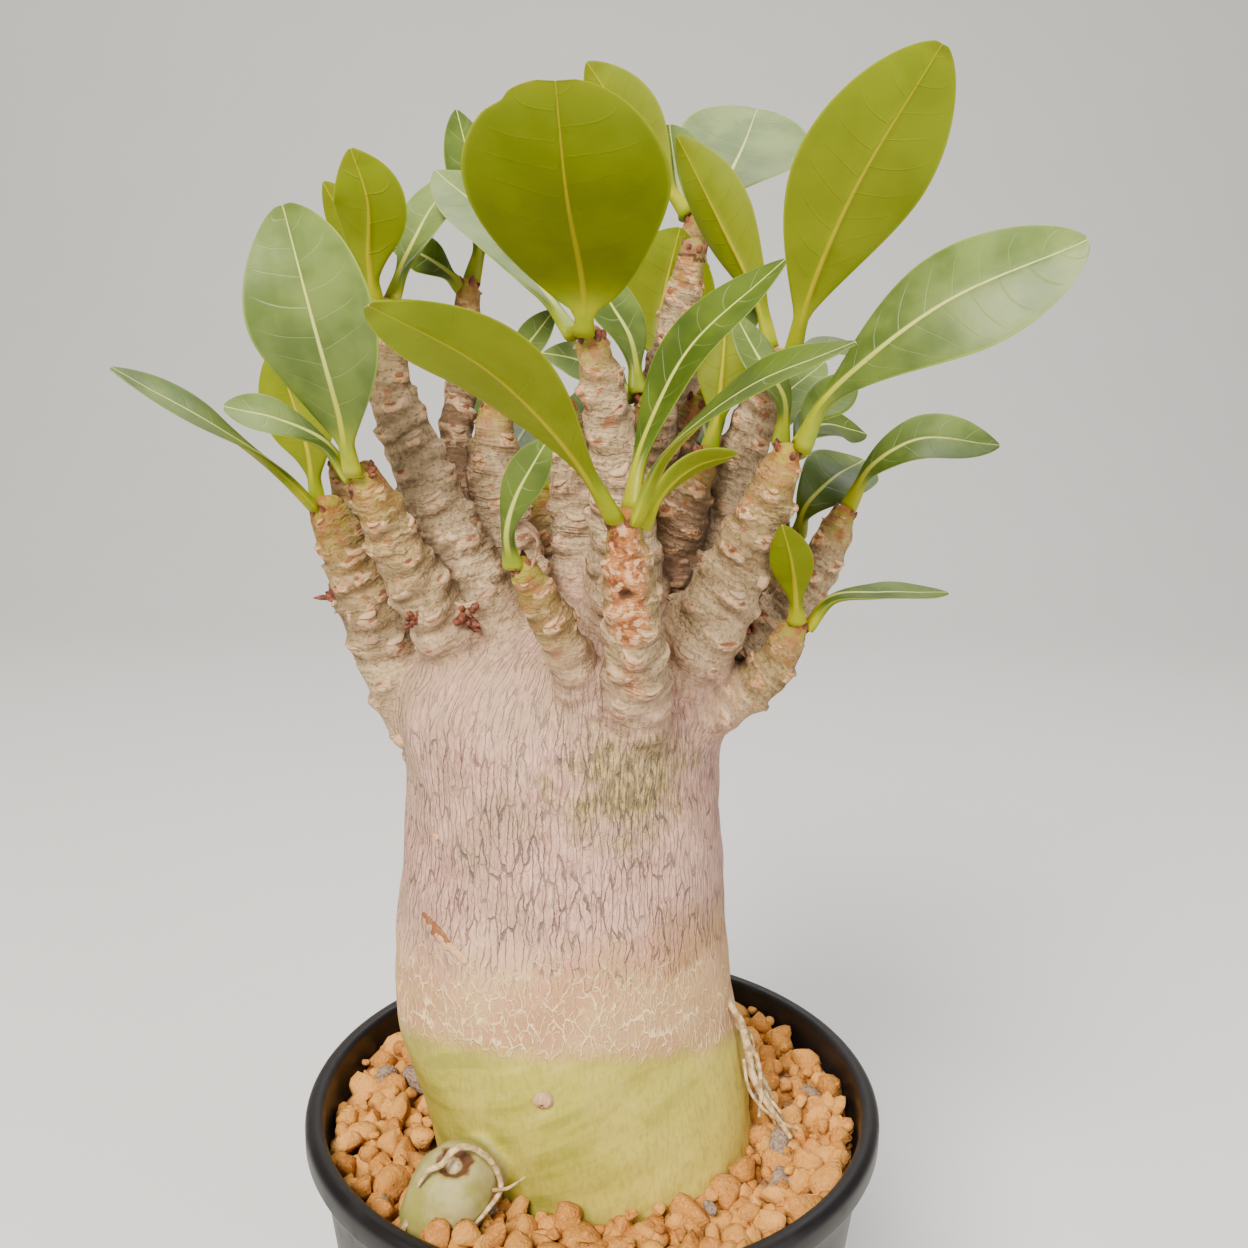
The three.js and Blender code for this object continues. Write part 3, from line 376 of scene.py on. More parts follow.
def closed(name, skin, *materials):
    """A closed piece from its points and faces, with every face outward."""
    piece = object_from(name, *skin, materials)
    shape = bmesh.new()
    shape.from_mesh(piece.data)
    bmesh.ops.recalc_face_normals(shape, faces=shape.faces)
    shape.to_mesh(piece.data)
    shape.free()
    return piece


def store(mesh, **facts):
    """Each fact as an attribute of the vertices, with one number or three for each of them."""
    for name, values in facts.items():
        values = np.asarray(values)
        whole, wide = values.dtype.kind == "i", values.ndim == 2
        kind = "INT" if whole else "FLOAT_VECTOR" if wide else "FLOAT"
        attribute = mesh.attributes.new(name, kind, "POINT")
        values = values.astype(np.int32 if whole else np.float32)
        attribute.data.foreach_set("vector" if wide else "value", values.ravel())


def rows_of(items, field, width):
    """One field of every vertex or edge, as rows of numbers."""
    flat = np.empty(len(items) * width, dtype=int if field == "vertices" else float)
    items.foreach_get(field, flat)
    return flat.reshape(-1, width)


def made_plain(source, name):
    """What the modifiers of an object give, as a mesh of its own. The source is removed."""
    graph = bpy.context.evaluated_depsgraph_get()
    mesh = bpy.data.meshes.new_from_object(source.evaluated_get(graph))
    mesh.name = name
    plain = placed(name, mesh)
    bpy.data.objects.remove(source)
    return plain


def keep(piece, slot, *nodes):
    """The piece rides on the plant's one body and stands for those nodes, which it hides. The slot
    is not used.
    """
    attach(piece, "root")
    if nodes:
        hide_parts(*nodes)


def around(sides):
    """Even angles round a circle."""
    return np.linspace(0, 2 * math.pi, sides, endpoint=False)


def level_rings(outline, sides):
    """A flat ring of points for each radius and height."""
    turn = around(sides)
    return [np.stack([np.cos(turn) * r, np.sin(turn) * r, np.full(sides, h)], axis=1)
            for r, h in outline]


def between(t, start, end, p, q):
    """What lies at t on the line that has p at start and q at end."""
    return (end - t) / (end - start) * p + (t - start) / (end - start) * q


def smooth_path(rows, step):
    """Even points along a centripetal spline through rows of x, y, z and radius, with their
    tangents, radii and distances from the root."""
    rows = np.asarray(rows, dtype=float)
    points, radii = rows[:, :3], rows[:, 3]
    ends = [2 * points[0] - points[1], *points, 2 * points[-1] - points[-2]]
    fine = []
    for i in range(1, len(ends) - 2):
        p = ends[i - 1:i + 3]
        knots = [0.0]
        for k in range(3):
            knots.append(knots[-1] + max(np.linalg.norm(p[k + 1] - p[k]), 1e-6) ** 0.5)
        t0, t1, t2, t3 = knots
        for t in np.linspace(t1, t2, 60, endpoint=False):
            middle = between(t, t1, t2, p[1], p[2])
            before = between(t, t0, t2, between(t, t0, t1, p[0], p[1]), middle)
            after = between(t, t1, t3, middle, between(t, t2, t3, p[2], p[3]))
            fine.append((i - 1 + (t - t1) / (t2 - t1), between(t, t1, t2, before, after)))
    fine.append((len(points) - 1.0, points[-1]))
    share = np.array([f[0] for f in fine])
    line = np.array([f[1] for f in fine])
    run = np.concatenate([[0], np.cumsum(np.linalg.norm(np.diff(line, axis=0), axis=1))])
    even = np.linspace(0, run[-1], max(3, round(run[-1] / step)) + 1)
    centre = np.stack([np.interp(even, run, line[:, k]) for k in range(3)], axis=1)
    tangent = np.gradient(centre, axis=0)
    tangent /= np.linalg.norm(tangent, axis=1)[:, None]
    radius = np.interp(np.interp(even, run, share), range(len(radii)), radii)
    return centre, tangent, radius, even


def carried_frames(tangent):
    """Two directions square to the path at each point, turned as little as possible along it."""
    across = np.array([1.0, 0, 0])
    first, second = [], []
    for t in tangent:
        across = across - across @ t * t
        across /= np.linalg.norm(across)
        first.append(across)
        second.append(np.cross(t, across))
    return np.array(first), np.array(second)


def skin_rings(rings, start, end):
    """Stacked rings of points as one closed skin, with a fan at each end."""
    sides = len(rings[0])
    points = np.concatenate([*rings, [start], [end]])
    low, high = len(points) - 2, len(points) - 1
    last = (len(rings) - 1) * sides
    faces = []
    for j in range(sides):
        k = (j + 1) % sides
        faces += [(low, k, j), (high, last + j, last + k)]
        faces += [(a + j, a + k, a + sides + k, a + sides + j) for a in range(0, last, sides)]
    return points, faces


def joined(parts):
    """Several (points, faces) as one."""
    points, faces, start = [], [], 0
    for some_points, some_faces in parts:
        points.append(np.asarray(some_points))
        faces += [tuple(start + i for i in face) for face in some_faces]
        start += len(some_points)
    return np.concatenate(points), faces


def tube(rows, step, sides, tip=0.6):
    """A closed tube through rows of x, y, z and radius, with a cone of that share at each end."""
    centre, tangent, radius, _ = smooth_path(rows, step)
    first, second = carried_frames(tangent)
    turn = around(sides)[:, None]
    rings = [c + r * (np.cos(turn) * a + np.sin(turn) * b)
             for c, r, a, b in zip(centre, radius, first, second)]
    start = centre[0] - tangent[0] * radius[0] * tip
    end = centre[-1] + tangent[-1] * radius[-1] * tip
    return skin_rings(rings, start, end)


def soft_noise(points, size, seed):
    """Smooth random field over points, made of a few dozen waves whose length is about size."""
    random = np.random.default_rng(seed)
    total = np.zeros(len(points))
    for _ in range(24):
        wave = random.normal(size=3)
        wave *= (2 * math.pi / size) * random.uniform(0.6, 1.5) / np.linalg.norm(wave)
        total += np.cos(points @ wave + random.uniform(0, 2 * math.pi))
    return total / math.sqrt(12)


# ---------------------------------------------------------------- nodes

# Short words for nodes: the kind, its settings, the inputs that take the values in turn, with
# what each has when it is left out, and the output
MATH = "add subtract multiply divide multiply_add maximum absolute fract arctan2"
WORDS = {word: ("ShaderNodeMath", {"operation": word.upper()}, {}, 0) for word in MATH.split()}
WORDS |= {
    "shift": ("ShaderNodeVectorMath", {"operation": "ADD"}, {}, 0),
    "stretch": ("ShaderNodeVectorMath", {"operation": "MULTIPLY"}, {}, 0),
    "stretch_shift": ("ShaderNodeVectorMath", {"operation": "MULTIPLY_ADD"}, {}, 0),
    "scale": ("ShaderNodeVectorMath", {"operation": "SCALE"}, {0: None, "Scale": None}, 0),
    "length": ("ShaderNodeVectorMath", {"operation": "LENGTH"}, {}, 1),
    "dot": ("ShaderNodeVectorMath", {"operation": "DOT_PRODUCT"}, {}, 1),
    "combine": ("ShaderNodeCombineXYZ", {}, {}, 0),
    "parts": ("ShaderNodeSeparateXYZ", {}, {}, (0, 1, 2)),
    "blend": ("ShaderNodeMix", {"data_type": "RGBA"}, {0: None, 6: None, 7: None}, 2),
    "span": ("ShaderNodeMapRange", {"interpolation_type": "SMOOTHSTEP"}, {}, 0),
    "noise": ("ShaderNodeTexNoise", {},
              {"Vector": None, "Scale": None, "Detail": 3.0, "Roughness": 0.55}, 0),
    "cell edge": ("ShaderNodeTexVoronoi",
                  {"feature": "DISTANCE_TO_EDGE", "voronoi_dimensions": "2D"},
                  {"Vector": None, "Scale": 1.0, "Randomness": 1.0}, 0),
    "bump": ("ShaderNodeBump", {},
             {"Height": None, "Distance": None, "Normal": None, "Strength": 1.0}, 0),
}


def rgb(text):
    """A colour written as sRGB hex, turned into the linear numbers that the shaders take."""
    parts = [int(text[i:i + 2], 16) / 255 for i in (1, 3, 5)]
    linear = [c / 12.92 if c <= 0.04045 else ((c + 0.055) / 1.055) ** 2.4 for c in parts]
    return (*linear, 1)


def feed(tree, socket, value):
    """Links other nodes' outputs to a socket, or sets it to a number or a hex colour."""
    if isinstance(value, list):
        for part in value:
            tree.links.new(part, socket)
    elif isinstance(value, bpy.types.NodeSocket):
        tree.links.new(value, socket)
    else:
        hexed = isinstance(value, str) and value.startswith("#")
        socket.default_value = rgb(value) if hexed else value


def add(tree, kind, *values, props=None, out=None, **named):
    """A node with its settings, and its inputs fed. The kind may be one of the short words."""
    kind, settings, places, output = WORDS.get(kind, (kind, {}, {}, 0))
    made = tree.nodes.new(kind)
    for key, value in (settings | (props or {})).items():
        setattr(made, key, value)
    given = places | dict(zip(places or range(len(values)), values))
    given |= {key.replace("_", " "): value for key, value in named.items()}
    for place, value in given.items():
        if value is not None:
            feed(tree, made.inputs[place], value)
    out = output if out is None else out
    return [made.outputs[k] for k in out] if isinstance(out, tuple) else made.outputs[out]


def product(node, *values):
    """The values multiplied together. A tuple stands for a span: what it follows, where it
    starts and ends there, and what it gives at each end."""
    values = [node("span", *value) if isinstance(value, tuple) else value for value in values]
    total = values[0]
    for value in values[1:]:
        total = node("multiply", total, value)
    return total


def painted(node, colour, *coats):
    """Coats over a colour: what each follows, as a share or a span, and last its own colour."""
    for *share, coat in coats:
        share = share[0] if len(share) == 1 else node("span", *share)
        colour = node("blend", share, colour, coat)
    return colour


def relief(node, *layers):
    """Bump over bump: what each follows, and its depth in millimetres where that reaches 1."""
    normal = None
    for height, depth in layers:
        normal = node("bump", height, depth * MM, normal)
    return normal


def new_material(name, *facts):
    """A material, the function that adds its nodes, the place on the object in millimetres,
    and the piece's own facts."""
    material = bpy.data.materials.new(name)
    material.use_nodes = True
    node = partial(add, material.node_tree)
    place = node("stretch", node("ShaderNodeTexCoord", out="Object"), (1 / MM,) * 3)
    told = [node("ShaderNodeAttribute", props={"attribute_name": fact}, out="Fac")
            for fact in facts]
    return material, node, place, *told


def dressed(material, **values):
    """Feeds the material's shader, whose inputs are named with _ for a space."""
    shader = material.node_tree.nodes["Principled BSDF"]
    for key, value in values.items():
        feed(material.node_tree, shader.inputs[key.replace("_", " ")], value)
    return material


# ---------------------------------------------------------------- materials

# The finest grain of bark, cork, dry fibre and moulded plastic is too fine to show in the render.
# It is drawn about half a millimetre wide, as coarse as it needs to show

def bark_material():
    """Living bark of a desert rose. Zones by height: smooth yellow-green below, a tan band with
    pale threads, grey-pink skin with fine dark cracks, and ringed grey limbs, olive at the top."""
    (material, node, place, limb, young, tone, wound, along, scar, upper, under, core, crease,
     rust) = new_material("desert rose bark", "limb", "young", "tone", "wound", "along", "scar",
                          "upper", "under", "core", "crease", "rust")
    x, y, height = node("parts", place)

    # Grey-pink skin, cloudy in two sizes, with small upright flecks
    clouds = node("noise", place, 1 / 14, 4)
    fine = node("noise", place, 1 / 1.3)
    fleck = node("noise", node("stretch", place, (1, 1, 0.35)), 1 / 0.8, 2)
    worn = node("add", node("noise", place, 1 / 22, 4), node("span", height, 150, 190, -0.05, 0.06))
    worn = node("subtract", worn, node("span", x, -35, 15, -0.05, 0.05))
    skin = painted(node, "#b08472", (clouds, 0.35, 0.65, "#cda08c"),
                   (fleck, 0.42, 0.66, 0, 0.5, "#e4bca4"), (worn, 0.46, 0.66, 0, 0.6, "#a68d6c"))

    # Under the front limb the skin is painted a darker olive and coarser: painted shade where the
    # limb shades the trunk
    shadow = node("stretch_shift", place, (0.06, 0.06, 0.08), (-0.5, 1.9, -14.6))
    ragged = node("subtract", node("noise", place, 1 / 5, 4), 0.5)
    shadow = node("multiply_add", ragged, 2, node("length", shadow))
    olive = painted(node, "#74653a", (fleck, 0.4, 0.62, "#b0985f"))
    skin = painted(node, skin, (shadow, 0.35, 1.2, 0.9, 0, olive))

    # Fine cracks: the sides of tall narrow cells, 1.25 mm and 0.8 mm wide on the unrolled skin,
    # wavering and fading in and out
    turned = node("arctan2", x, node("multiply", y, -1))
    unrolled = node("combine", node("multiply", turned, UNROLLED_RADIUS), height)
    waver = node("noise", place, 0.25, 3, 0.5, out=1)
    lines = []
    for wide, tall, width, shift in ((0.8, 0.1, 0.085, 0), (1.25, 0.3, 0.1, 31)):
        where = node("stretch_shift", waver, (1.5, 0.8, 0), (shift, shift, 0))
        where = node("stretch_shift", unrolled, (wide, tall, 1), where)
        broken = node("stretch_shift", place, (1, 1, 0.5), (shift, 0, shift))
        lines.append(product(node, (node("cell edge", where), width * 0.25, width, 1, 0),
                             (node("noise", broken, 1 / 2.4, 2), 0.34, 0.54, 0.3, 1)))
    crack = node("maximum", lines[0], node("multiply", lines[1], 0.35))

    # Tan band over the foot, where the cracks open into pale raised threads. Its edges lean:
    # higher at the front than at the sides
    ragged = node("noise", node("stretch", place, (1, 1, 0.4)), 1 / 5, 4)
    ragged = node("multiply", node("subtract", ragged, 0.5), 13)
    level = node("multiply_add", ragged, 0.5, node("dot", place, (0.04, 0.32, 1)))
    upper_level = node("add", ragged, node("dot", place, (-0.17, 0.2, 1)))
    net = node("stretch_shift", unrolled, (0.6, 0.22, 1), node("stretch", waver, (1.8, 1.6, 0)))
    thread = product(node, (node("cell edge", net), 0.03, 0.13, 1, 0),
                     (node("noise", place, 1 / 2.6, 2), 0.36, 0.55, 0.15, 1))
    thread = node("maximum", thread, node("multiply", lines[1], 0.6))
    thread = product(node, thread, (level, 117, 121), (level, 128, 148, 1, 0))
    tan = painted(node, "#b8885e", (clouds, 0.4, 0.6, "#c49c6a"),
                  (node("noise", place, 1 / 6), 0.5, 0.7, 0, 0.6, "#d09378"))
    crack = product(node, crack, (node("noise", place, 1 / 13, 2), 0.36, 0.6, 0.7, 1),
                    (level, 128, 144), (height, 182, 200, 1, 0.6), (limb, 0.25, 0.8, 1, 0.1))
    skin = painted(node, skin, (upper_level, 137, 152, 1, 0, tan),
                   (product(node, crack, 0.85), "#574a47"),
                   (product(node, thread, 0.85), "#f2d29c"))

    # Smooth green foot, streaked along the way that the root twists; the knob is greyer
    streak = node("stretch", node("dot", place, (-0.42, 0, 1)), (0, 0, 0.3))
    streak = node("stretch_shift", place, (0.05, 0.05, 0), streak)
    streak = node("noise", streak, 1, 4)
    green = painted(node, "#9a9333", (streak, 0.4, 0.55, "#aea53a"),
                    (node("noise", place, 1 / 12, 2), 0.42, 0.62, 0, 0.7, "#bfae4e"),
                    (streak, 0.6, 0.72, 0, 0.25, "#cfc66e"),
                    # Painted light: lighter yellow toward the lower right of the foot, where the
                    # light falls brighter
                    (node("dot", place, (1, 0, -0.5)), -60, -25, 0, 0.8, "#d6c256"),
                    (fine, 0.52, 0.8, 0, 0.25, "#d8c480"), (fleck, 0.46, 0.66, 0, 0.35, "#8d872c"))
    old_green = painted(node, "#87823e", (node("noise", place, 1 / 5), 0.34, 0.66, "#a99c6c"))
    green = painted(node, green, (tone, 0.5, 1, 0, 0.85, old_green))
    foot = product(node, (level, 117, 122.5, 1, 0), (limb, 0.3, 0.8, 1, 0))
    skin = painted(node, skin, (foot, green))

    # Limbs: grey below, olive above, speckled, wrinkled across the way that they grow, with painted
    # shade in a dark strip under each ledge, corky scars with a brown heart, painted shade
    # darkening the forks, and tips that are orange-brown turning yellow-green
    wrinkle = node("stretch_shift", node("combine", along, clouds), (1.1, 3, 1),
                   node("stretch", place, (0.12, 0.12, 0.12)))
    wrinkle = node("noise", wrinkle, 1 / 0.9)
    warm = painted(node, "#7f6830", (fine, 0.4, 0.62, "#a08046"))
    warm_share = product(node, (tone, -0.2, 0.9, 0.15, 1), (upper, 0, 0.8, 0.3, 0.95))
    ragged = node("multiply_add", fine, 0.9, -0.45)
    cork = painted(node, "#cc8d58", (fine, 0.38, 0.62, "#eec79a"),
                   (upper, 0, 0.6, 0.45, 0, "#bb9f84"))
    spots = product(node, (node("noise", place, 1 / 2.6), 0.6, 0.68),
                    (upper, 0.1, 0.7, 0.1, 1), 0.7)
    tip = painted(node, "#98602a", (node("noise", place, 1 / 2.4, 2), 0.4, 0.62, "#9a8d2c"),
                  (wrinkle, 0.55, 0.75, 0, 0.6, "#6b3418"))
    limb_skin = painted(
        node, "#9c8668", (fleck, 0.35, 0.65, "#bfa482"), (warm_share, warm),
        (tone, -1, -0.3, 0.85, 0, "#76553a"), (wrinkle, 0.45, 0.7, 0, 0.55, "#d6b68f"),
        (wrinkle, 0.28, 0.44, 0.6, 0, "#6f5230"),
        # Painted shade: a dark strip just under each leaf-scar ledge, where the ledge would shade
        # the limb
        (product(node, under, (fine, 0.3, 0.55, 0.35, 0.9)), "#553a20"),
        (node("noise", place, 1 / 0.75, 2), 0.54, 0.68, 0, 0.6, "#54432a"),
        (node("add", scar, ragged), 0.18, 0.4, 0, 0.85, cork),
        (node("add", core, ragged), 0.25, 0.5, 0, 0.85, "#74381a"), (spots, "#93491f"),
        # Painted shade: the forks between limbs darkened, as if in their shadow
        (product(node, crease, (clouds, 0.3, 0.6, 0.6, 1), 0.75), "#5a4732"), (young, tip))

    # A long rusty scar on the front limb, and cut wood: a brown edge round pale fibres
    rusty = painted(node, "#74340f", (node("noise", place, 1 / 2.2), 0.38, 0.6, "#b8743f"),
                    (fine, 0.48, 0.62, 0, 0.8, "#dcae84"))
    rust = product(node, rust, (fine, 0.25, 0.55, 0.35, 1))
    wood = painted(node, "#d9c39a", (fine, 0.4, 0.6, "#a98a62"))
    rim = product(node, (wound, 0.03, 0.2), (wound, 0.4, 0.6, 1, 0))
    colour = painted(node, skin, (limb, limb_skin), (rust, 0.1, 0.5, 0, 0.9, rusty),
                     (rim, "#5c3a22"), (wound, 0.45, 0.7, wood))

    grain = product(node, node("noise", place, 1 / 0.45), (foot, 0, 1, 1, 0.25))
    normal = relief(node, (crack, -0.4), (thread, 0.22), (product(node, wrinkle, limb), 0.9),
                    (grain, 0.16))
    return dressed(material, Base_Color=colour, Normal=normal, Specular_IOR_Level=0.3,
                   Roughness=node("span", foot, 0, 1, 0.78, 0.5))


def scar_material():
    """Corky pads where leaves fell: cream lips round a brown middle, worn darker when old."""
    material, node, place, age, kind = new_material("leaf scar cork", "age", "kind_tone")
    spot = node("ShaderNodeAttribute", props={"attribute_name": "pad"}, out="Vector")
    middle = node("length", node("stretch", spot, (1.0, 1.5, 0)))
    ragged = node("multiply_add", node("noise", place, 1 / 0.6, 2), 0.7, middle)
    cream = painted(node, "#bb804c", (kind, "#d6aa7a"),
                    (node("noise", place, 1 / 0.9), 0.35, 0.65, 0, 0.5, "#dc9c74"),
                    (age, 0.2, 1.0, 0, 0.8, "#bca083"), (age, 1.2, 1.5, "#8a4f2e"))
    brown = painted(node, "#7c3c1a", (age, "#8a7052"))
    heart = product(node, (ragged, 0.35, 0.7, 0.85, 0), (kind, 0.35, 0.6, 1, 0.2))
    colour = painted(node, cream, (heart, brown), (ragged, 1.05, 1.35, 0, 0.8, "#8d7d5c"))
    return dressed(material, Base_Color=colour, Roughness=0.85, Specular_IOR_Level=0.2,
                   Normal=relief(node, (node("noise", place, 1 / 0.5), 0.3)))


def mottled(name, size, dark, light, grain, roughness):
    """A dry, dull plant fibre: dark and light blotches of one size, with a finer grain."""
    material, node, place = new_material(name)
    colour = painted(node, dark, (node("noise", place, 1 / size), 0.35, 0.65, light))
    return dressed(material, Base_Color=colour, Roughness=roughness,
                   Normal=relief(node, (node("noise", place, 1 / grain, 2), 0.15)))


def leaf_material(upper):
    """Leathery waxy blade. The upper side is deep green under a pale bloom, with a cream midrib;
    the under side is yellow-green with a raised yellow midrib. Both have fine side veins."""
    material, node, place, across, share, blade, pale, gap, vein = new_material(
        "leaf upper side" if upper else "leaf under side",
        "across", "share", "blade", "pale", "gap", "vein")
    share = node("absolute", share)
    clouds = node("noise", place, 1 / 9)
    off_vein = node("absolute", node("subtract", node("fract", vein), 0.5))
    vein = product(node, (node("multiply", off_vein, gap), 0.02, 0.2, 1, 0),
                   (share, 0.6, 0.93, 1, 0), (blade, 0.08, 0.22))
    rib = node("divide", node("absolute", across), node("span", blade, 0, 1, 0.55, 0.11))
    rib = node("span", rib, 0.5, 1.2, 1, 0)
    if upper:
        dark = painted(node, "#394b07", (clouds, 0.35, 0.65, "#4e600d"))
        bloom = painted(node, "#657839", (clouds, 0.35, 0.65, "#809051"))
        cream = painted(node, "#9a9a18", (blade, 0.05, 0.5, "#bcc262"))
        colour = painted(node, dark, (product(node, pale, (blade, 0.08, 0.8, 0.15, 1)), bloom),
                         (product(node, vein, 0.15), "#b3c274"),
                         (share, 0.95, 0.985, 0, 0.5, "#8c9c38"), (rib, cream))
    else:
        old = painted(node, "#626903", (clouds, 0.35, 0.65, "#6b7303"))
        new = painted(node, "#6f7803", (clouds, 0.35, 0.65, "#778005"))
        colour = painted(node, old, (pale, new), (product(node, vein, pale, 0.16), "#938f1e"),
                         (share, 0.95, 0.985, 0, 0.35, "#969a20"),
                         (product(node, rib, 0.8), "#a79a10"))
    petiole = painted(node, "#7b8a06", (clouds, 0.35, 0.65, "#98980a"))
    colour = painted(node, colour, (blade, 0.0, 0.16, 1, 0, petiole),
                     (node("noise", place, 1 / 2.2, 4), 0.7, 0.78, 0, 0.3, "#8a7a3a"))
    normal = relief(node, (vein, -0.05 if upper else 0.05),
                    (node("noise", place, 1 / 0.8, 2), 0.02))
    return dressed(material, Base_Color=colour, Normal=normal,
                   Roughness=0.42 if upper else 0.55, Specular_IOR_Level=0.28 if upper else 0.12,
                   Subsurface_Weight=0.15, Subsurface_Radius=(0.6, 1.0, 0.2),
                   Subsurface_Scale=0.001)


def granule_material():
    """Fired clay granules: porous and dusty, tan-orange, and a few of them grey-brown."""
    material, node, place, shade, dark = new_material("baked clay granules", "shade", "dark")
    pores = node("noise", place, 1 / 0.7, 4, 0.65)
    clouds = node("noise", place, 1 / 3)
    grey = painted(node, "#7a6450", (pores, 0.35, 0.65, "#a8917e"))
    colour = painted(node, "#a96d30", (shade, "#dc9f52"), (clouds, 0.35, 0.65, 0, 0.4, "#c5812f"),
                     (pores, 0.5, 0.66, 0, 0.4, "#e6b06a"), (pores, 0.28, 0.42, 0.6, 0, "#864a18"),
                     (dark, grey))
    return dressed(material, Base_Color=colour, Normal=relief(node, (clouds, 0.9), (pores, 0.5)),
                   Roughness=0.95, Specular_IOR_Level=0.15)


def pot_material():
    """Moulded black polypropylene, satin, with a slight purple cast, finely grained and dusty."""
    material, node, place = new_material("moulded black plastic")
    dust = node("span", node("noise", place, 1 / 16, 4, 0.6), 0.45, 0.75)
    colour = painted(node, "#0e0b0c", (product(node, dust, 0.15), "#3c3537"))
    return dressed(material, Base_Color=colour, Specular_IOR_Level=0.35,
                   Roughness=node("span", dust, 0, 1, 0.42, 0.6),
                   Normal=relief(node, (node("noise", place, 1 / 0.5, 2), 0.02)))


def floor_material():
    """Plain pale studio paper, matt, very slightly cloudy."""
    material, node, place = new_material("pale floor")
    colour = painted(node, "#d9d7d3", (node("noise", place, 1 / 120, 2), "#dddbd8"))
    return dressed(material, Base_Color=colour, Roughness=0.8)


# ---------------------------------------------------------------- pot

def wall_at(height):
    return POT_BASE_RADIUS + (POT_RIM_RADIUS - LIP_WIDTH - POT_BASE_RADIUS) * height / POT_HEIGHT


def build_pot(material):
    """Tapered moulded pot: a rounded foot, a flat base with six drain holes, a thick lip."""
    lip_foot = POT_HEIGHT - LIP_HEIGHT
    rim = POT_RIM_RADIUS
    quarter = math.pi / 2
    outline = [(POT_BASE_RADIUS - 1.5 + 1.5 * math.sin(a), 1.5 - 1.5 * math.cos(a))
               for a in np.linspace(0, math.pi * 0.45, 6)]
    outline += [(wall_at(h), h) for h in np.linspace(3, lip_foot - 0.5, 14)]
    outline += [(wall_at(lip_foot) + 0.3, lip_foot - 0.1), (rim - 0.7, lip_foot + 0.2),
                (rim - 0.25, lip_foot + 0.5), (rim, lip_foot + 1.1)]
    outline += [(rim - 2 + 2 * math.cos(a), POT_HEIGHT - 2 + 2 * math.sin(a))
                for a in np.linspace(0, quarter, 9)]
    outline += [(rim - 2.3 - 1.5 * math.sin(a), POT_HEIGHT - 1.5 + 1.5 * math.cos(a))
                for a in np.linspace(0.15, quarter, 8)]
    outline += [(wall_at(lip_foot) - POT_WALL, lip_foot - 2)]
    outline += [(wall_at(h) - POT_WALL, h) for h in np.linspace(lip_foot - 8, POT_WALL + 2, 10)]
    outline += [(wall_at(0) - POT_WALL - 1.2, POT_WALL + 0.6)]
    rings = level_rings(outline, POT_SIDES)
    pot = closed("pot_shell", skin_rings(rings, (0, 0, 0), (0, 0, POT_WALL + 0.6)), material)
    cutters = []
    for angle in around(HOLES):
        middle = np.array([math.cos(angle), math.sin(angle), 0]) * HOLE_DISTANCE
        ends = [(HOLE_RADIUS, -4), (HOLE_RADIUS, 6)]
        low, high = [ring + middle for ring in level_rings(ends, HOLE_SIDES)]
        cutters.append(skin_rings([low, high], low.mean(axis=0), high.mean(axis=0)))
    holes = closed("drain_holes", joined(cutters), material)
    cut = pot.modifiers.new("drain holes", "BOOLEAN")
    cut.operation = "DIFFERENCE"
    cut.object = holes
    cut.solver = "EXACT"
    plain = made_plain(pot, "pot_shell")
    bpy.data.objects.remove(holes)
    plain.data.shade_smooth()
    plain.data.set_sharp_from_angle(angle=math.radians(50))
    return plain


# ---------------------------------------------------------------- caudex

def trunk_rings(step=1.2):
    """Rings along a smooth curve through the trunk's sections."""
    table = np.array(TRUNK, dtype=float)
    knots = table[:, 0]
    heights = np.arange(knots[0], knots[-1] + 0.1, step)
    place = np.clip(np.searchsorted(knots, heights, side="right") - 1, 0, len(knots) - 2)
    width = knots[place + 1] - knots[place]
    t = (heights - knots[place]) / width
    columns = []
    for k in range(1, 5):
        slope = np.gradient(table[:, k], knots)
        a, b = table[place, k], table[place + 1, k]
        columns.append((2 * t**3 - 3 * t**2 + 1) * a + (t**3 - 2 * t**2 + t) * width * slope[place]
                       + (3 * t**2 - 2 * t**3) * b + (t**3 - t**2) * width * slope[place + 1])
    turn = around(TRUNK_SIDES)
    return [np.stack([x + np.cos(turn) * wide, y + np.sin(turn) * deep,
                      np.full(TRUNK_SIDES, height)], axis=1)
            for height, x, y, wide, deep in zip(heights, *columns)]


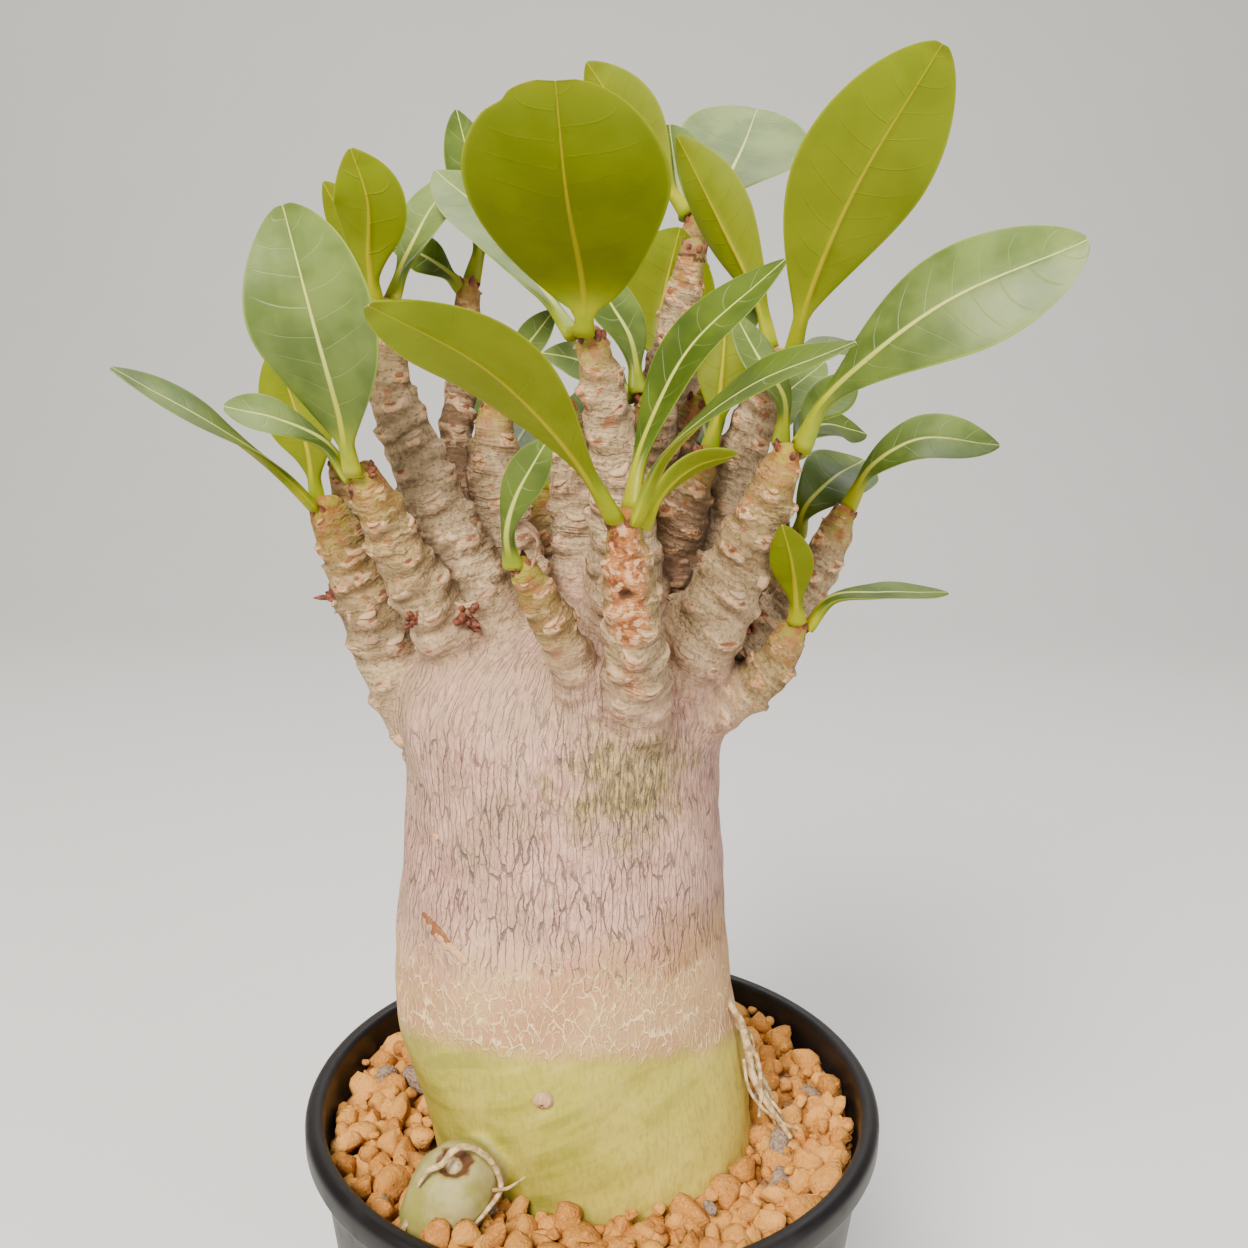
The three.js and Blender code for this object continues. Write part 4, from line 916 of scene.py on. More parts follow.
class Limb:
    """A limb's fine centreline, and the places of its fallen leaves' scars."""

    def __init__(self, name, rows, seed):
        self.name = name
        self.centre, self.tangent, self.radius, self.run = smooth_path(rows, 0.7)
        self.first, self.second = carried_frames(self.tangent)
        self.random = np.random.default_rng(seed)
        self.tone = TONES.get(name, self.random.uniform(-0.1, 0.8))
        self.sites = []
        if name != ROOT:
            near_tip = np.clip(1 - (self.run[-1] - self.run) / 9, 0, 1)
            self.radius = self.radius * (1 - 0.2 * near_tip)
            turn = self.random.uniform(0, TURN)
            for i in range(int(self.run[-1] / SCAR_STEP)):
                run = (i + self.random.uniform(0.2, 0.8)) * SCAR_STEP
                angle = turn + i * GOLDEN_ANGLE + self.random.normal() * 0.12
                self.sites.append((run, angle))

    def at(self, run):
        return min(len(self.run) - 1, int(round(run / self.run[-1] * (len(self.run) - 1))))

    def outward(self, i, angle):
        return self.first[i] * math.cos(angle) + self.second[i] * math.sin(angle)

    def solid(self):
        """The limb as a fine tube whose scar sites swell into ledges, with a rounded tip."""
        turn = around(LIMB_SIDES)
        reach = np.tile(self.radius[:, None], (1, len(turn)))
        for run, angle in self.sites:
            here = self.radius[self.at(run)]
            aside = ((turn - angle + math.pi) % (2 * math.pi) - math.pi)[None, :] * here
            along = self.run[:, None] - run
            steep = np.where(along > 0, 0.9, 2.4)
            ledge = np.exp(-(aside / 2.7) ** 2) * np.exp(-(along / steep) ** 2)
            reach += ledge * min(0.5, here * 0.1)
        circle = [np.cos(turn)[:, None] * a + np.sin(turn)[:, None] * b
                  for a, b in zip(self.first, self.second)]
        rings = [c + r[:, None] * way for c, r, way in zip(self.centre, reach, circle)]
        end, last = self.centre[-1], rings[-1]
        way = self.tangent[-1] * self.radius[-1]
        if self.name != ROOT:
            for rise, share in ((0.3, 0.93), (0.55, 0.76), (0.72, 0.5)):
                rings.append(end + way * rise + (last - last.mean(axis=0)) * share)
        return skin_rings(rings, self.centre[0], rings[-1].mean(axis=0) + way * 0.12)


def limb_distances(points, limbs):
    """For each point: how far it lies outside its nearest limb and the next one, the nearest
    one's number, and the place along it."""
    best = np.full(len(points), 1e9)
    second = np.full(len(points), 1e9)
    which = np.zeros(len(points), dtype=int)
    run = np.zeros(len(points))
    for number, limb in enumerate(limbs):
        low = limb.centre.min(axis=0) - 16
        high = limb.centre.max(axis=0) + 16
        near = np.all((points > low) & (points < high), axis=1).nonzero()[0]
        if not len(near):
            continue
        gaps = np.linalg.norm(points[near, None, :] - limb.centre[None, :, :], axis=2)
        gaps = gaps - limb.radius[None, :]
        place = gaps.argmin(axis=1)
        depth = gaps[np.arange(len(near)), place]
        closer = depth < best[near]
        second[near] = np.where(closer, best[near], np.minimum(second[near], depth))
        which[near] = np.where(closer, number, which[near])
        run[near] = np.where(closer, limb.run[place], run[near])
        best[near] = np.where(closer, depth, best[near])
    return best, second, which, run


def trunk_depth(points):
    """How far each point lies outside the trunk."""
    table = np.array(TRUNK, dtype=float)
    x, y, wide, deep = [np.interp(points[:, 2], table[:, 0], table[:, k]) for k in range(1, 5)]
    flat = np.hypot((points[:, 0] - x) / wide, (points[:, 1] - y) / deep)
    return np.maximum((flat - 1) * np.minimum(wide, deep), points[:, 2] - table[-1, 0])


def smoothed(points, edges, weight, rounds):
    """Points drawn towards the mean of their neighbours, each by its own weight."""
    count = np.bincount(edges.ravel(), minlength=len(points)).astype(float)
    for _ in range(rounds):
        total = np.zeros_like(points)
        np.add.at(total, edges[:, 0], points[edges[:, 1]])
        np.add.at(total, edges[:, 1], points[edges[:, 0]])
        points = points + (total / count[:, None] - points) * weight[:, None]
    return points


def scar_marks(points, limbs):
    """What each fallen leaf left: a ledge with a sharp upper edge, the scar on its face and the
    scar's heart; with them, the painted shade under each ledge."""
    tree = KDTree(len(points))
    for i, p in enumerate(points):
        tree.insert(p, i)
    tree.balance()
    ledge, under, scar, core = np.zeros((4, len(points)))
    vary = np.random.default_rng(61)
    for limb in limbs:
        for site, angle in limb.sites:
            i = limb.at(site)
            out = limb.outward(i, angle)
            spot = limb.centre[i] + out * limb.radius[i]
            aside = np.cross(limb.tangent[i], out)
            wide = min(3.4, limb.radius[i] * 0.75) * vary.uniform(0.7, 1.2)
            strong, skew = vary.uniform(0.5, 1.1), vary.uniform(-0.25, 0.25)
            for p, j, _ in tree.find_range(spot, SCAR_REACH):
                off = np.array(p) - spot
                x = off @ aside
                up = off @ limb.tangent[i] + x * skew
                drop = up - 0.12 * x ** 2 / wide
                rise = math.exp(-(x / wide) ** 2 - (up / (0.7 if up > 0 else 2.0)) ** 2)
                shade = math.exp(-((drop + 2.6) / 0.65) ** 2 - (x / wide / 1.3) ** 2)
                face = 1 - math.hypot(x / wide, (drop + 0.9) / 1.25)
                heart = 1 - math.hypot((x - wide * skew) / wide / 0.6, (up + 0.35) / 0.75)
                ledge[j] = max(ledge[j], rise * min(0.95, limb.radius[i] * 0.18))
                under[j] = max(under[j], shade)
                scar[j] = max(scar[j], face * strong)
                core[j] = max(core[j], heart * strong)
    return ledge, under, scar, core


def rust_marks(points):
    """How strongly each point lies on the rusty scars."""
    rust = np.zeros(len(points))
    for start, end, wide, strong in RUST:
        start, way = np.array(start, float), np.array(end, float) - start
        share = np.clip((points - start) @ way / (way @ way), 0, 1)
        gap = np.linalg.norm(points - start - share[:, None] * way, axis=1)
        rust = np.maximum(rust, np.clip(1.3 - gap / wide, 0, 1) * strong)
    return rust


def build_caudex(material, limbs):
    """One living body: trunk and limbs grown together, creases filled, skin uneven."""
    trunk = skin_rings(trunk_rings(), (1, 1, 56), (-5, 0, 209.5))
    whole = joined([trunk, *[limb.solid() for limb in limbs]])
    rough = object_from("caudex_rough", *whole, [material])
    remesh = rough.modifiers.new("grown together", "REMESH")
    remesh.mode = "VOXEL"
    remesh.voxel_size = SKIN_VOXEL * MM
    caudex = made_plain(rough, "caudex_skin")
    mesh = caudex.data

    points = rows_of(mesh.vertices, "co", 3) / MM
    depth, second, which, run = limb_distances(points, limbs)
    wood = trunk_depth(points)
    names = [limb.name for limb in limbs]
    on_knob = which == names.index(ROOT)
    rest = np.minimum(np.maximum(depth, wood), second)
    crease = 1 - (rest - np.minimum(depth, wood)) / np.where(on_knob, KNOB_BLEND, BLEND)
    weight = 0.1 + 0.8 * np.clip(crease, 0, 1)
    points = smoothed(points, rows_of(mesh.edges, "vertices", 2), weight, 7)

    # The skin is never quite even: slow swells on the trunk, knuckles low on the limbs
    mesh.vertices.foreach_set("co", (points * MM).ravel())
    mesh.update()
    normals = rows_of(mesh.vertices, "normal", 3)
    on_limb = 1 / (1 + np.exp(np.clip((depth - wood) / 1.6, -30, 30)))
    from_tip = np.array([limb.run[-1] for limb in limbs])[which] - run
    swell = soft_noise(points, 34, 3) * 0.3 + soft_noise(points, 11, 4) * 0.12
    knuckle = soft_noise(points, 6, 5) * 0.12
    points = points + normals * (swell * (1 - on_limb) + knuckle * on_limb)[:, None]
    ledge, under, scar, core = scar_marks(points, limbs)
    points = points + normals * (ledge * on_limb)[:, None]

    # Wounds: dished, with the old wood bare inside
    wound = np.zeros(len(points))
    for place, size, dish in WOUNDS:
        gap = np.linalg.norm(points - np.array(place), axis=1)
        mark = np.clip(1 - gap / size * (1 + 0.1 * soft_noise(points, 3, 8)), 0, 1)
        wound = np.maximum(wound, mark)
        sunk = np.clip(mark * 2.5, 0, 1) ** 1.5 * (1 - 0.7 * np.clip((mark - 0.5) / 0.3, 0, 1))
        points = points - normals * (dish * sunk)[:, None]
    cut_tip = (which == names.index(CUT_LIMB)) & (from_tip < 1.5) & (depth > -1.5)
    wound[cut_tip] = np.maximum(wound[cut_tip], 0.5)
    mesh.vertices.foreach_set("co", (points * MM).ravel())
    mesh.update()

    on_limb[on_knob] = 0
    climb = np.clip((run - 4) / 14, 0, 1)
    tone = np.array([limb.tone for limb in limbs])[which]
    knob_tone = np.clip((1.5 - (depth - wood)) / 3, 0, 1) * tone
    limb_tone = np.where((depth - wood < 3) | (on_limb > 0.02), tone, 0)
    # The under and crease facts carry painted shade: a strip under each scar ledge and the forks
    # between limbs are darkened in the bark's colour
    store(mesh, limb=np.clip(on_limb * (0.35 + 0.65 * climb), 0, 1),
          young=np.clip(1 - from_tip / 9, 0, 1) * on_limb,
          upper=np.clip(1 - from_tip / 30, 0, 1) * on_limb, along=run,
          tone=np.where(on_knob, knob_tone, limb_tone), wound=wound,
          scar=np.clip(scar, 0, 1) * on_limb, rust=rust_marks(points), under=under * on_limb,
          core=np.clip(core, 0, 1) * on_limb,
          crease=np.clip(1.15 - (second - depth) / 3.2, 0, 1) * on_limb)
    mesh.shade_smooth()
    return caudex


def surface_of(piece):
    """A search tree over a piece's faces, in millimetres."""
    mesh = piece.data
    points = [tuple(v.co / MM) for v in mesh.vertices]
    return BVHTree.FromPolygons(points, [tuple(p.vertices) for p in mesh.polygons])


def front_of(skin, x, z, back):
    """The spot and its normal where the skin faces the camera at x and z, or else the nearest."""
    spot, normal, _, _ = skin.ray_cast(Vector((x, IN_FRONT, z)), Vector((0, 1, 0)))
    if spot is None:
        spot, normal, _, _ = skin.find_nearest(Vector((x, back, z)))
    return np.array(spot), np.array(normal)


def pad_places(limbs, skin):
    """Where each corky pad sits on the skin: place, turn, size and age."""
    places, turns, sizes, ages = [], [], [], []
    for limb in limbs:
        for run, angle in limb.sites:
            i = limb.at(run)
            out = limb.outward(i, angle)
            guess = Vector(limb.centre[i] + out * (limb.radius[i] + 0.5))
            spot, normal, _, gap = skin.find_nearest(guess)
            if spot is None or gap > 0.9 or normal.dot(Vector(out)) < 0.6:
                continue
            from_tip = limb.run[-1] - run
            age = min(1.0, from_tip / 30 + limb.random.uniform(-0.15, 0.15))
            if limb.random.random() < (run < 7) * 0.7 + 0.15 + 0.3 * age:
                continue
            aside = Vector(np.cross(limb.tangent[i], out)).normalized()
            tangent = aside.cross(normal) * -1
            if tangent.dot(Vector(limb.tangent[i])) < 0:
                tangent = -tangent
            side = tangent.cross(normal).normalized()
            turn = Matrix((side, normal.cross(side).normalized(), normal)).transposed()
            spin = Matrix.Rotation(limb.random.normal() * 0.16, 3, "Z")
            turns.append((turn @ spin).to_euler())
            grow = limb.random.uniform(0.8, 1.2) * (1 - 0.35 * max(0, 1 - from_tip / 8))
            wide = min(2.6, limb.radius[i] * 0.62) * grow
            sizes.append((wide, wide * limb.random.uniform(0.26, 0.44), PAD_HALF_HEIGHT))
            places.append(np.array(spot) + np.array(normal) * 0.3)
            ages.append(max(0.0, age))
    return places, turns, sizes, ages


# ---------------------------------------------------------------- repeated shapes

def laid_on(node, whole, skin, lift):
    """Bends flat shapes on to a surface: each point goes to the skin below it, and up by lift."""
    target = node("GeometryNodeObjectInfo", skin, out="Geometry")
    facing = node("GeometryNodeSampleNearestSurface", Mesh=target,
                  Value=node("GeometryNodeInputNormal"),
                  Sample_Position=node("GeometryNodeInputPosition"),
                  props={"data_type": "FLOAT_VECTOR"})
    near = node("GeometryNodeProximity", target, out="Position")
    spot = node("shift", near, node("scale", facing, lift))
    return node("GeometryNodeSetPosition", whole, Position=spot)


def scatter_tree(name, shapes, thick=None):
    """Puts a shape on every point of the mesh, turned and sized by the point's own attributes.
    With a thickness, the shapes are laid on a skin and stand that far out of it."""
    tree = bpy.data.node_groups.new(name, "GeometryNodeTree")
    node = partial(add, tree)
    ids = {}
    for label, kind, value in (("Geometry", "Geometry", None), ("Material", "Material", None),
                               ("Roughness", "Float", 0.2), ("Seed", "Int", 1),
                               ("Skin", "Object", None)):
        made = tree.interface.new_socket(label, in_out="INPUT", socket_type="NodeSocket" + kind)
        if value is not None:
            made.default_value = value
        ids[label] = made.identifier
    tree.interface.new_socket("Geometry", in_out="OUTPUT", socket_type="NodeSocketGeometry")
    points, material, roughness, seed, skin = node("NodeGroupInput", out=(0, 1, 2, 3, 4))

    def told(fact, kind):
        return node("GeometryNodeInputNamedAttribute", fact, props={"data_type": kind})

    turn = node("FunctionNodeEulerToRotation", told("turn", "FLOAT_VECTOR"))
    whole = node("GeometryNodeInstanceOnPoints", Points=points,
                 Instance=shapes(node, roughness, seed), Pick_Instance=True,
                 Instance_Index=told("kind", "INT"), Rotation=turn,
                 Scale=told("size", "FLOAT_VECTOR"))
    whole = node("GeometryNodeRealizeInstances", whole)
    if thick:
        level = node("parts", told("pad", "FLOAT_VECTOR"))[2]
        level = node("multiply_add", level, thick * MM, -thick * 0.35 * MM)
        whole = laid_on(node, whole, skin, product(node, level, told("swell", "FLOAT")))
    whole = node("GeometryNodeSetShadeSmooth", whole)
    whole = node("GeometryNodeSetMaterial", whole, Material=material)
    node("NodeGroupOutput", whole, out=())
    return tree, ids


def lumpy_shapes(node, roughness, seed, kinds, finish):
    """Several uneven balls of a few dozen faces as instances, to pick from."""
    balls = []
    for number in range(kinds):
        ball = node("GeometryNodeMeshIcoSphere", Radius=1.0, Subdivisions=2)
        place = node("GeometryNodeInputPosition")
        where = node("shift", place, (7.3 * number, 3.1 * number, 0))
        where = node("shift", where, node("combine", seed))
        lump = product(node, node("subtract", node("noise", where, 0.9, 1, 0.5), 0.5), roughness)
        ball = node("GeometryNodeSetPosition", ball, Offset=node("scale", place, lump))
        balls.append(node("GeometryNodeGeometryToInstance", finish(node, ball, number)))
    return node("GeometryNodeJoinGeometry", balls)


def granule_shapes(node, roughness, seed):
    """Broken, worn granules: balls cut by a few flat faces."""
    def chipped(node, ball, number):
        random = np.random.default_rng(50 + number)
        for _ in range(8):
            way = random.normal(size=3)
            way = tuple(way / np.linalg.norm(way))
            reach = node("dot", node("GeometryNodeInputPosition"), way)
            over = node("subtract", reach, random.uniform(0.42, 0.66))
            over = product(node, node("maximum", over, 0.0), -0.95)
            ball = node("GeometryNodeSetPosition", ball, Offset=node("scale", way, over))
        return ball
    return lumpy_shapes(node, roughness, seed, GRANULE_KINDS, chipped)


def pad_shapes(node, roughness, seed):
    """Crescent pads whose ends sweep up the limb."""
    def crescent(node, ball, number):
        place = node("GeometryNodeInputPosition")
        ball = node("GeometryNodeStoreNamedAttribute", ball, Name="pad", Value=place,
                    props={"data_type": "FLOAT_VECTOR", "domain": "POINT"})
        x = node("parts", place)[0]
        bend = product(node, x, x, 0.5 + 0.25 * number)
        return node("GeometryNodeSetPosition", ball, Offset=node("combine", 0.0, bend))
    return lumpy_shapes(node, roughness, seed, PAD_KINDS, crescent)


def scattered(name, places, turns, sizes, tree_and_ids, values, **facts):
    """One piece made of the tree's shapes, one on each place."""
    tree, ids = tree_and_ids
    points = object_from(name, places, [], [])
    store(points.data, turn=[tuple(t) for t in turns], size=np.array(sizes) * MM, **facts)
    modifier = points.modifiers.new(name, "NODES")
    modifier.node_group = tree
    for key, value in values.items():
        modifier[ids[key]] = value
    return made_plain(points, name)


# ---------------------------------------------------------------- soil

def on_bed(x, y, room):
    """Is a granule of that room clear of the trunk and the pot's wall?"""
    far = math.hypot(x, y) + room
    trunk = math.hypot((x + 0.2) / (34.0 + room), y / (33.5 + room))
    return far < wall_at(SOIL_TOP) - POT_WALL + 0.2 and trunk > 1


def bed_layers():
    """Granules in layers, each one's x, y, z and size: a packed layer, a broken one on it,
    crumbs in two sizes, and the heap."""
    random = np.random.default_rng(23)
    made = []
    for count, radius, level, spread, spacing in (
            (260, 3.3, 0.2, 0.8, 0.80), (190, 3.0, 2.6, 1.0, 0.94), (170, 1.7, 2.6, 1.2, 1.2),
            (120, 1.1, 4.0, 1.4, 1.6)):
        tries = 0
        kept = []
        while len(kept) < count and tries < 30000:
            tries += 1
            x, y = random.uniform(-57, 57, size=2)
            size = radius * random.uniform(0.82, 1.25)
            if not on_bed(x, y, size * 0.72):
                continue
            if any((x - a) ** 2 + (y - b) ** 2 < (spacing * (size + c)) ** 2 for a, b, c in kept):
                continue
            kept.append((x, y, size))
            made.append((x, y, SOIL_TOP + level + random.uniform(-spread, spread), size))

    # The widest are drawn in, so that none reaches through the pot's wall
    held = []
    for x, y, z, size in made + HEAP:
        inward = min(1, (wall_at(z) - 1.0 - size * 1.25) / math.hypot(x, y))
        held.append((x * inward, y * inward, z, size))
    return held


def build_soil(material):
    """The bed under the granules, and the granules on it."""
    outline = [(wall_at(h) - 2.0, h) for h in (2.5, 50, 90)] + [(wall_at(95) - 2.1, 95)]
    outline += [(r, 94.6 + 0.3 * math.sin(r)) for r in (50, 44, 38, 33)]
    rings = level_rings(outline, BED_SIDES)
    for ring, (r, h) in zip(rings, outline):
        ring[:, 2] += 0.5 * np.sin(around(BED_SIDES) * 9 + r) * (h > 94)
    bed = closed("soil_bed", skin_rings(rings, (0, 0, 2.5), (0, 0, 94)), material)
    count = len(bed.data.vertices)
    store(bed.data, shade=np.zeros(count), dark=np.full(count, 0.5))

    layers = bed_layers()
    count = len(layers)
    random = np.random.default_rng(5)
    turns = random.uniform(0, TURN, size=(count, 3))
    sizes = [(s * random.uniform(1.25, 1.6), s * random.uniform(1.15, 1.4),
              s * random.uniform(1.0, 1.3)) for _, _, _, s in layers]
    kind = random.integers(0, GRANULE_KINDS, size=count)
    shade = random.uniform(0, 1, size=count)
    dark = (random.uniform(0, 1, size=count) > 0.965).astype(float)
    granules = scattered("clay_granules", [layer[:3] for layer in layers], turns, sizes,
                         scatter_tree("granules on the bed", granule_shapes),
                         {"Material": material, "Roughness": 0.55, "Seed": 3},
                         kind=kind, shade=shade, dark=dark)
    return bed, granules


# ---------------------------------------------------------------- leaves

def blade_faces(width):
    """The faces of the upper and of the under side. Their stations run across width points each,
    and the under side has the edge and both ends."""
    below = (BLADE_STATIONS + 1) * width
    faces, under = [], []
    for i in range(BLADE_STATIONS):
        left, right = i * width, (i + 1) * width - 1
        for a in range(left, right):
            faces.append((a, a + 1, a + width + 1, a + width))
            under.append((below + a, below + a + width, below + a + width + 1, below + a + 1))
        under.append((left, left + width, below + left + width, below + left))
        under.append((right, below + right, below + right + width, right + width))
    for j in range(width - 1):
        end = BLADE_STATIONS * width + j
        faces.append((j, below + j, below + j + 1, j + 1))
        faces.append((end, end + 1, below + end + 1, below + end))
    return faces, under


def build_leaf(name, leaf, upper, under, seed):
    """A closed leathery blade on a round fleshy stalk, its midrib raised below and sunk above."""
    midrib, face, most, widest, blunt, cup, *pale = leaf
    random = np.random.default_rng(seed)
    centre, tangent, _, _ = smooth_path([(*p, 1) for p in midrib], 0.35)
    length = np.linalg.norm(np.diff(centre, axis=0), axis=1).sum()
    sweep = 0.994 * (1 - (1 - np.linspace(0, 1, BLADE_STATIONS + 1)) ** 1.7)
    half_shares = [0.06, 0.12, 0.2, 0.32, 0.46, 0.6, 0.73, 0.85, 0.94, 0.985, 1]
    shares = np.array([-s for s in reversed(half_shares)] + [0] + half_shares)
    face = np.array(face, dtype=float)
    face /= np.linalg.norm(face)
    bend = math.log(0.5) / math.log(widest)
    veins = max(5, round(length / VEIN_STEP))
    wave = random.uniform(0, TURN, size=4)
    curl = random.uniform(-0.05, 0.05)
    base = ROUND_BASE if name == ROUND_LEAF else BLADE_BASE
    top, low, facts = [], [], []
    for along in sweep:
        index = along * (len(centre) - 1)
        i = min(int(index), len(centre) - 2)
        spot = centre[i] + (centre[i + 1] - centre[i]) * (index - i)
        way = tangent[i] + (tangent[i + 1] - tangent[i]) * (index - i)
        side = np.cross(way / np.linalg.norm(way), face)
        side /= np.linalg.norm(side)
        up = np.cross(side, way / np.linalg.norm(way))
        blade = max(0.0, (along - PETIOLE_SHARE) / (1 - PETIOLE_SHARE))
        flare = max(0.0, 1 - along / 0.16)
        stalk = PETIOLE_HALF * (1.0 - 0.25 * along + 0.38 * flare) * (1 - blade) ** 0.5
        wide = max(0.0, math.sin(math.pi * min(blade, 1) ** bend))
        wide = most * wide ** (base if blade < widest else blunt)
        half = max(0.12, (stalk ** 4 + wide ** 4) ** 0.25)
        thin = min(1.0, max(0.0, (half - stalk) / 3.5))
        thick = PETIOLE_THICK * (1 - 0.25 * along) + (BLADE_THICK - PETIOLE_THICK) * thin ** 0.6
        thick *= min(1, 0.35 + 6 * (1 - along))
        rib_size = 0.75 * (1 - blade) + 0.12
        for share in shares:
            far, right = abs(share), int(share > 0)
            across = share * half
            if name == ROUND_LEAF:
                nick_side, nick_at, nick_wide, nick_deep = NICK
                near = math.exp(-((blade - nick_at) / nick_wide) ** 2) * (share * nick_side > 0)
                across *= 1 - nick_deep * near * far ** 4
            ripple = 0.035 * half * far ** 2 * math.sin(along * 9 + wave[right])
            lift = cup * half * far ** 1.6 + (ripple + curl * across) * thin
            level = spot + side * across + up * lift
            round_off = math.sqrt(max(0, 1 - share ** 2))
            flat = 1 - 0.15 * far - 0.75 * max(0, (far - 0.9) / 0.1) ** 2
            body = 0.5 * thick * (round_off * (1 - thin) + flat * thin)
            rib = math.exp(-(across / (rib_size * 0.85)) ** 2) * thin
            vein_at = (blade - (0.075 * far + 0.085 * far ** 3) * (1 - 0.5 * blade)) * veins
            vein_at += 0.5 * right
            vein_at += 0.16 * math.sin(blade * 15 + wave[2 + right]) * min(1, far * 2)
            phase = abs(vein_at % 1 - 0.5) * length / veins
            ridge = math.exp(-(phase / 0.45) ** 2) * 0.03 * thin * (far < 0.85)
            top.append(level + up * (body - 0.2 * rib * rib_size - ridge))
            low.append(level - up * (body + 0.75 * rib * rib_size + ridge))
            facts.append((across, share, blade, vein_at))
    # No tip reaches past the plant's measured size
    points = np.clip(np.array(top + low), LOW_CORNER, HIGH_CORNER)
    faces, under_faces = blade_faces(len(shares))
    piece = closed("blade_" + name, (points, faces + under_faces), upper, under)
    marks = [0] * len(faces) + [1] * len(under_faces)
    piece.data.polygons.foreach_set("material_index", marks)
    across, share, blade, vein = np.array(facts + facts).T
    count = len(across)
    store(piece.data, across=across, share=share, blade=blade, vein=vein,
          gap=np.full(count, length / veins),
          pale=np.full(count, pale[0] if pale else random.uniform(0.05, 0.5)))
    return piece


# ---------------------------------------------------------------- small parts

def spine(foot, lean, reach, radii, rise):
    """A little tapering tube from foot along lean, that starts rise behind its foot."""
    places = (foot - lean * rise, foot + lean * reach[0], foot + lean * reach[1])
    return tube([(*place, radius) for place, radius in zip(places, radii)], 0.4, 7)


def build_buds(material, limbs, skin):
    """Dead buds on the limbs, and a few dry scales round each growing tip."""
    parts = []
    random = np.random.default_rng(77)
    for limb in limbs:
        if limb.name == ROOT:
            continue
        for k in range(5):
            angle = k / 5 * TURN + random.uniform(-0.4, 0.4)
            out = limb.outward(-1, angle)
            foot = limb.centre[-1] + out * limb.radius[-1] * random.uniform(0.7, 0.95)
            reach = random.uniform(0.5, 1.5)
            parts.append(spine(foot, limb.tangent[-1] + out * 0.5, (reach * 0.4, reach),
                               (0.75, 0.65, 0.2), 0.9))
    for x, z, size in DEAD_BUDS:
        spot, normal = front_of(skin, x, z, -20)
        for _ in range(11):
            spread = random.normal(size=3) * 0.5
            lean = normal + spread * 0.55 + np.array([0, 0, 0.35])
            foot = spot - normal * 0.6 + spread * size * 0.34
            reach = size * random.uniform(0.45, 0.95)
            parts.append(spine(foot, lean, (reach * 0.6, reach),
                               (size * 0.27, size * 0.22, 0.08), 0))
    return closed("dead_buds", joined(parts), material)


def build_marks(material, skin):
    """Healed cuts and warts that stand a little out of the trunk."""
    parts, ages = [], []
    for line, size, age in MARKS:
        path = []
        for x, z in line:
            spot, normal = front_of(skin, x, z, -5)
            path.append(spot - normal * size * 0.2 + np.array((0, size * 0.45, 0)) * (age > 1))
        radii = [size * 0.6, *[size] * (len(path) - 2), size * 0.8]
        points, faces = tube([(*p, r) for p, r in zip(path, radii)], 0.4, 12, tip=0.9)
        parts.append((points + soft_noise(points, 2.0, 31)[:, None] * size * 0.08, faces))
        ages += [age] * len(points)
    piece = closed("bark_marks", joined(parts), material)
    count = len(ages)
    store(piece.data, age=ages, kind_tone=np.ones(count), pad=np.tile((0.8, 0, 0), (count, 1)))
    return piece


def build_roots(material):
    """Dry feeding roots that hang out of the caudex over the granules."""
    return closed("dry_roots", joined([tube(rows, 0.5, 8) for rows in DRY_ROOTS]), material)


def build_withered(material):
    """The dry leaf on the small front limb: a thin strip curled right over."""
    centre, tangent, width, _ = smooth_path(WITHERED, 0.4)
    first, second = carried_frames(tangent)
    turn = around(14)[:, None]
    rings = [c + np.cos(turn) * w * b + np.sin(turn) * 0.32 * a
             for c, w, a, b in zip(centre, width, first, second)]
    return closed("withered_curl", skin_rings(rings, centre[0], centre[-1]), material)


def build_backdrop(material):
    """A pale floor that curves up behind the plant into a plain wall, with no edge between."""
    bend = [(900 + 700 * math.sin(a), 700 - 700 * math.cos(a))
            for a in np.linspace(0, math.pi / 2, 17)]
    profile = [(-2500, 0), *bend, (1600, 3200)]
    points = [(x, y, z) for y, z in profile for x in (-3500, 3500)]
    faces = [(2 * i, 2 * i + 1, 2 * i + 3, 2 * i + 2) for i in range(len(profile) - 1)]
    return object_from("backdrop", points, faces, [material])


# ---------------------------------------------------------------- putting it together

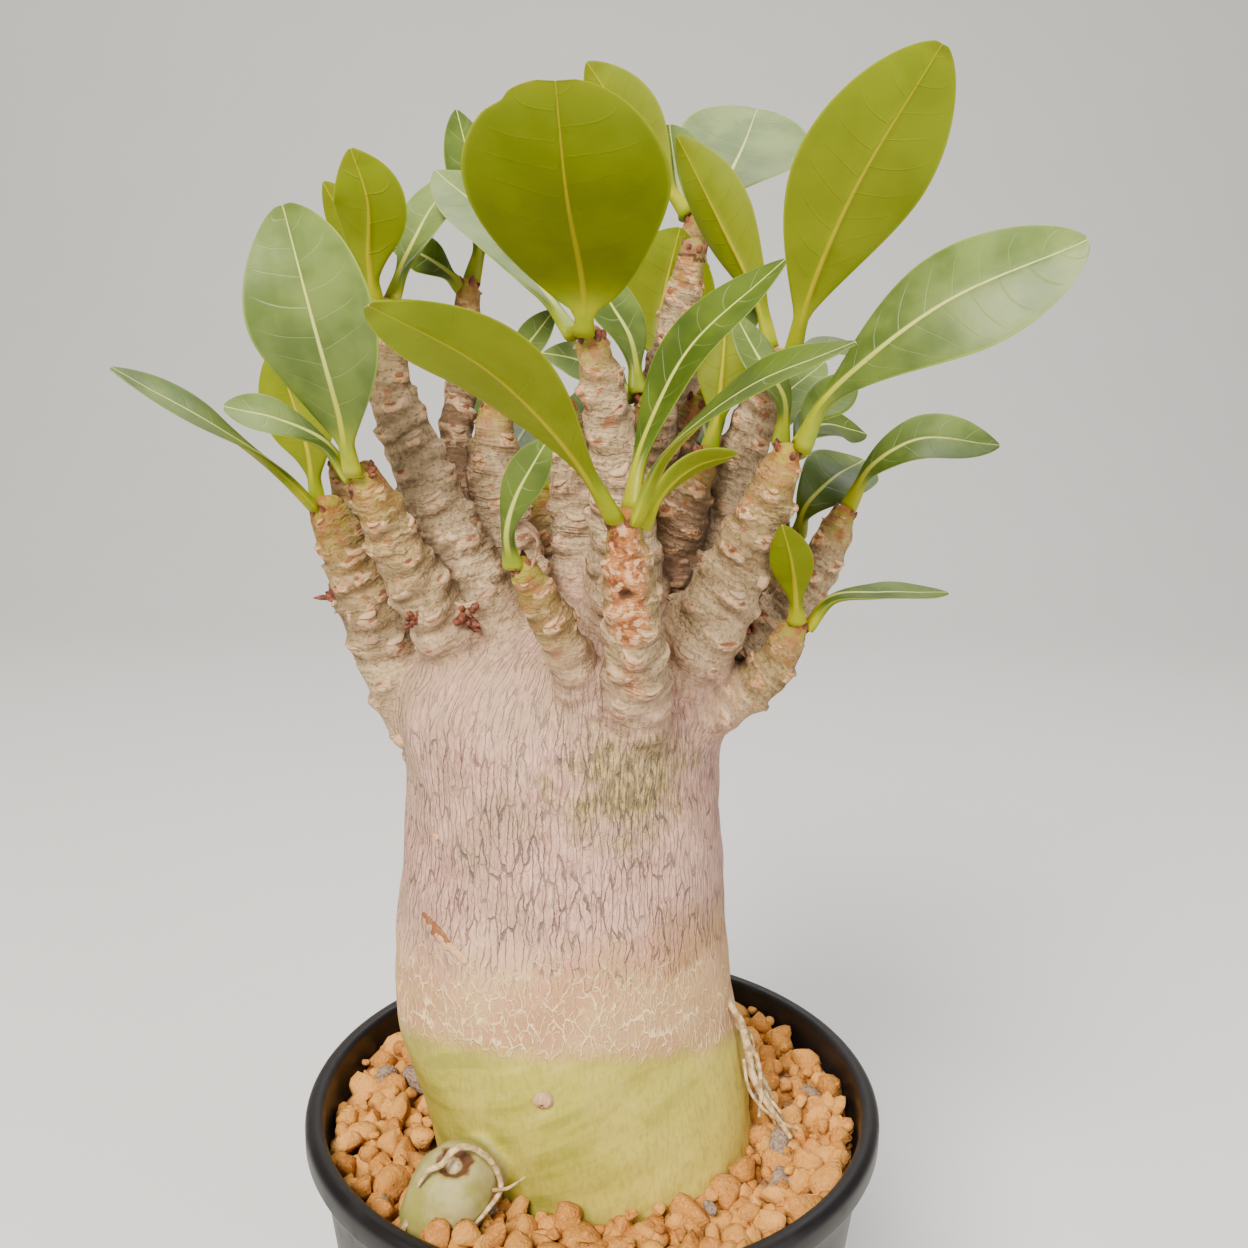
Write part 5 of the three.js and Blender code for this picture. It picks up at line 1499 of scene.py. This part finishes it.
make_camera()
soft_light("key", (-0.45, -1.1, 1.25), (0, 0, 0.18), 0.7, 60, (1.0, 0.95, 0.87))
soft_light("fill", (1.0, -0.9, 0.7), (0, 0, 0.18), 1.2, 11, (0.97, 0.97, 1.0))
soft_light("top", (0.1, 0.5, 1.3), (0, 0, 0.2), 1.0, 12, (1.0, 1.0, 1.0))
world = bpy.data.worlds.new("soft room")
bpy.context.scene.world = world
world.use_nodes = True
world.node_tree.nodes["Background"].inputs["Color"].default_value = rgb("#d8dadd")
world.node_tree.nodes["Background"].inputs["Strength"].default_value = 0.3

build_backdrop(floor_material())

limbs = [Limb(name, rows, 100 + i) for i, (name, rows) in enumerate(LIMBS.items())]
caudex = build_caudex(bark_material(), limbs)
keep(caudex, "bark", "caudex")
skin = surface_of(caudex)

scars = scar_material()
places, turns, sizes, ages = pad_places(limbs, skin)
kinds = np.random.default_rng(9).integers(0, PAD_KINDS, size=len(places))
pad_tones = np.random.default_rng(10).uniform(0, 1, size=len(places))
swells = np.random.default_rng(11).uniform(0.6, 1.3, size=len(places))
pads = scattered("leaf_scars", places, turns, sizes,
                 scatter_tree("scars on the limbs", pad_shapes, PAD_THICK),
                 {"Material": scars, "Roughness": 0.9, "Seed": 2, "Skin": caudex},
                 kind=kinds, age=ages, kind_tone=pad_tones, swell=swells)
keep(pads, "bark")

# Dead buds are red-brown and papery, dry roots straw-coloured, the dead leaf a pinkish brown
bud_scale = mottled("dry bud scale", 1.1, "#471a10", "#84482a", 0.5, 0.7)
root_fibre = mottled("dry root fibre", 1.6, "#9c7c50", "#dcc08e", 0.5, 0.85)
dead_leaf = mottled("withered leaf", 1.5, "#8d6248", "#c39a78", 0.6, 0.75)
keep(build_buds(bud_scale, limbs, skin), "bark")
keep(build_marks(scars, skin), "bark")
keep(build_roots(root_fibre), "bark")

keep(build_pot(pot_material()), "pot_plastic", "pot")
bed, granules = build_soil(granule_material())
keep(bed, "clay_granules", "soil")
keep(granules, "clay_granules", "soil")

upper, under = leaf_material(True), leaf_material(False)
for number, (name, leaf) in enumerate(LEAVES.items()):
    keep(build_leaf(name, leaf, upper, under, 300 + number), "leaf", "leaf_" + name)
keep(build_withered(dead_leaf), "dry_leaf", "withered_leaf")
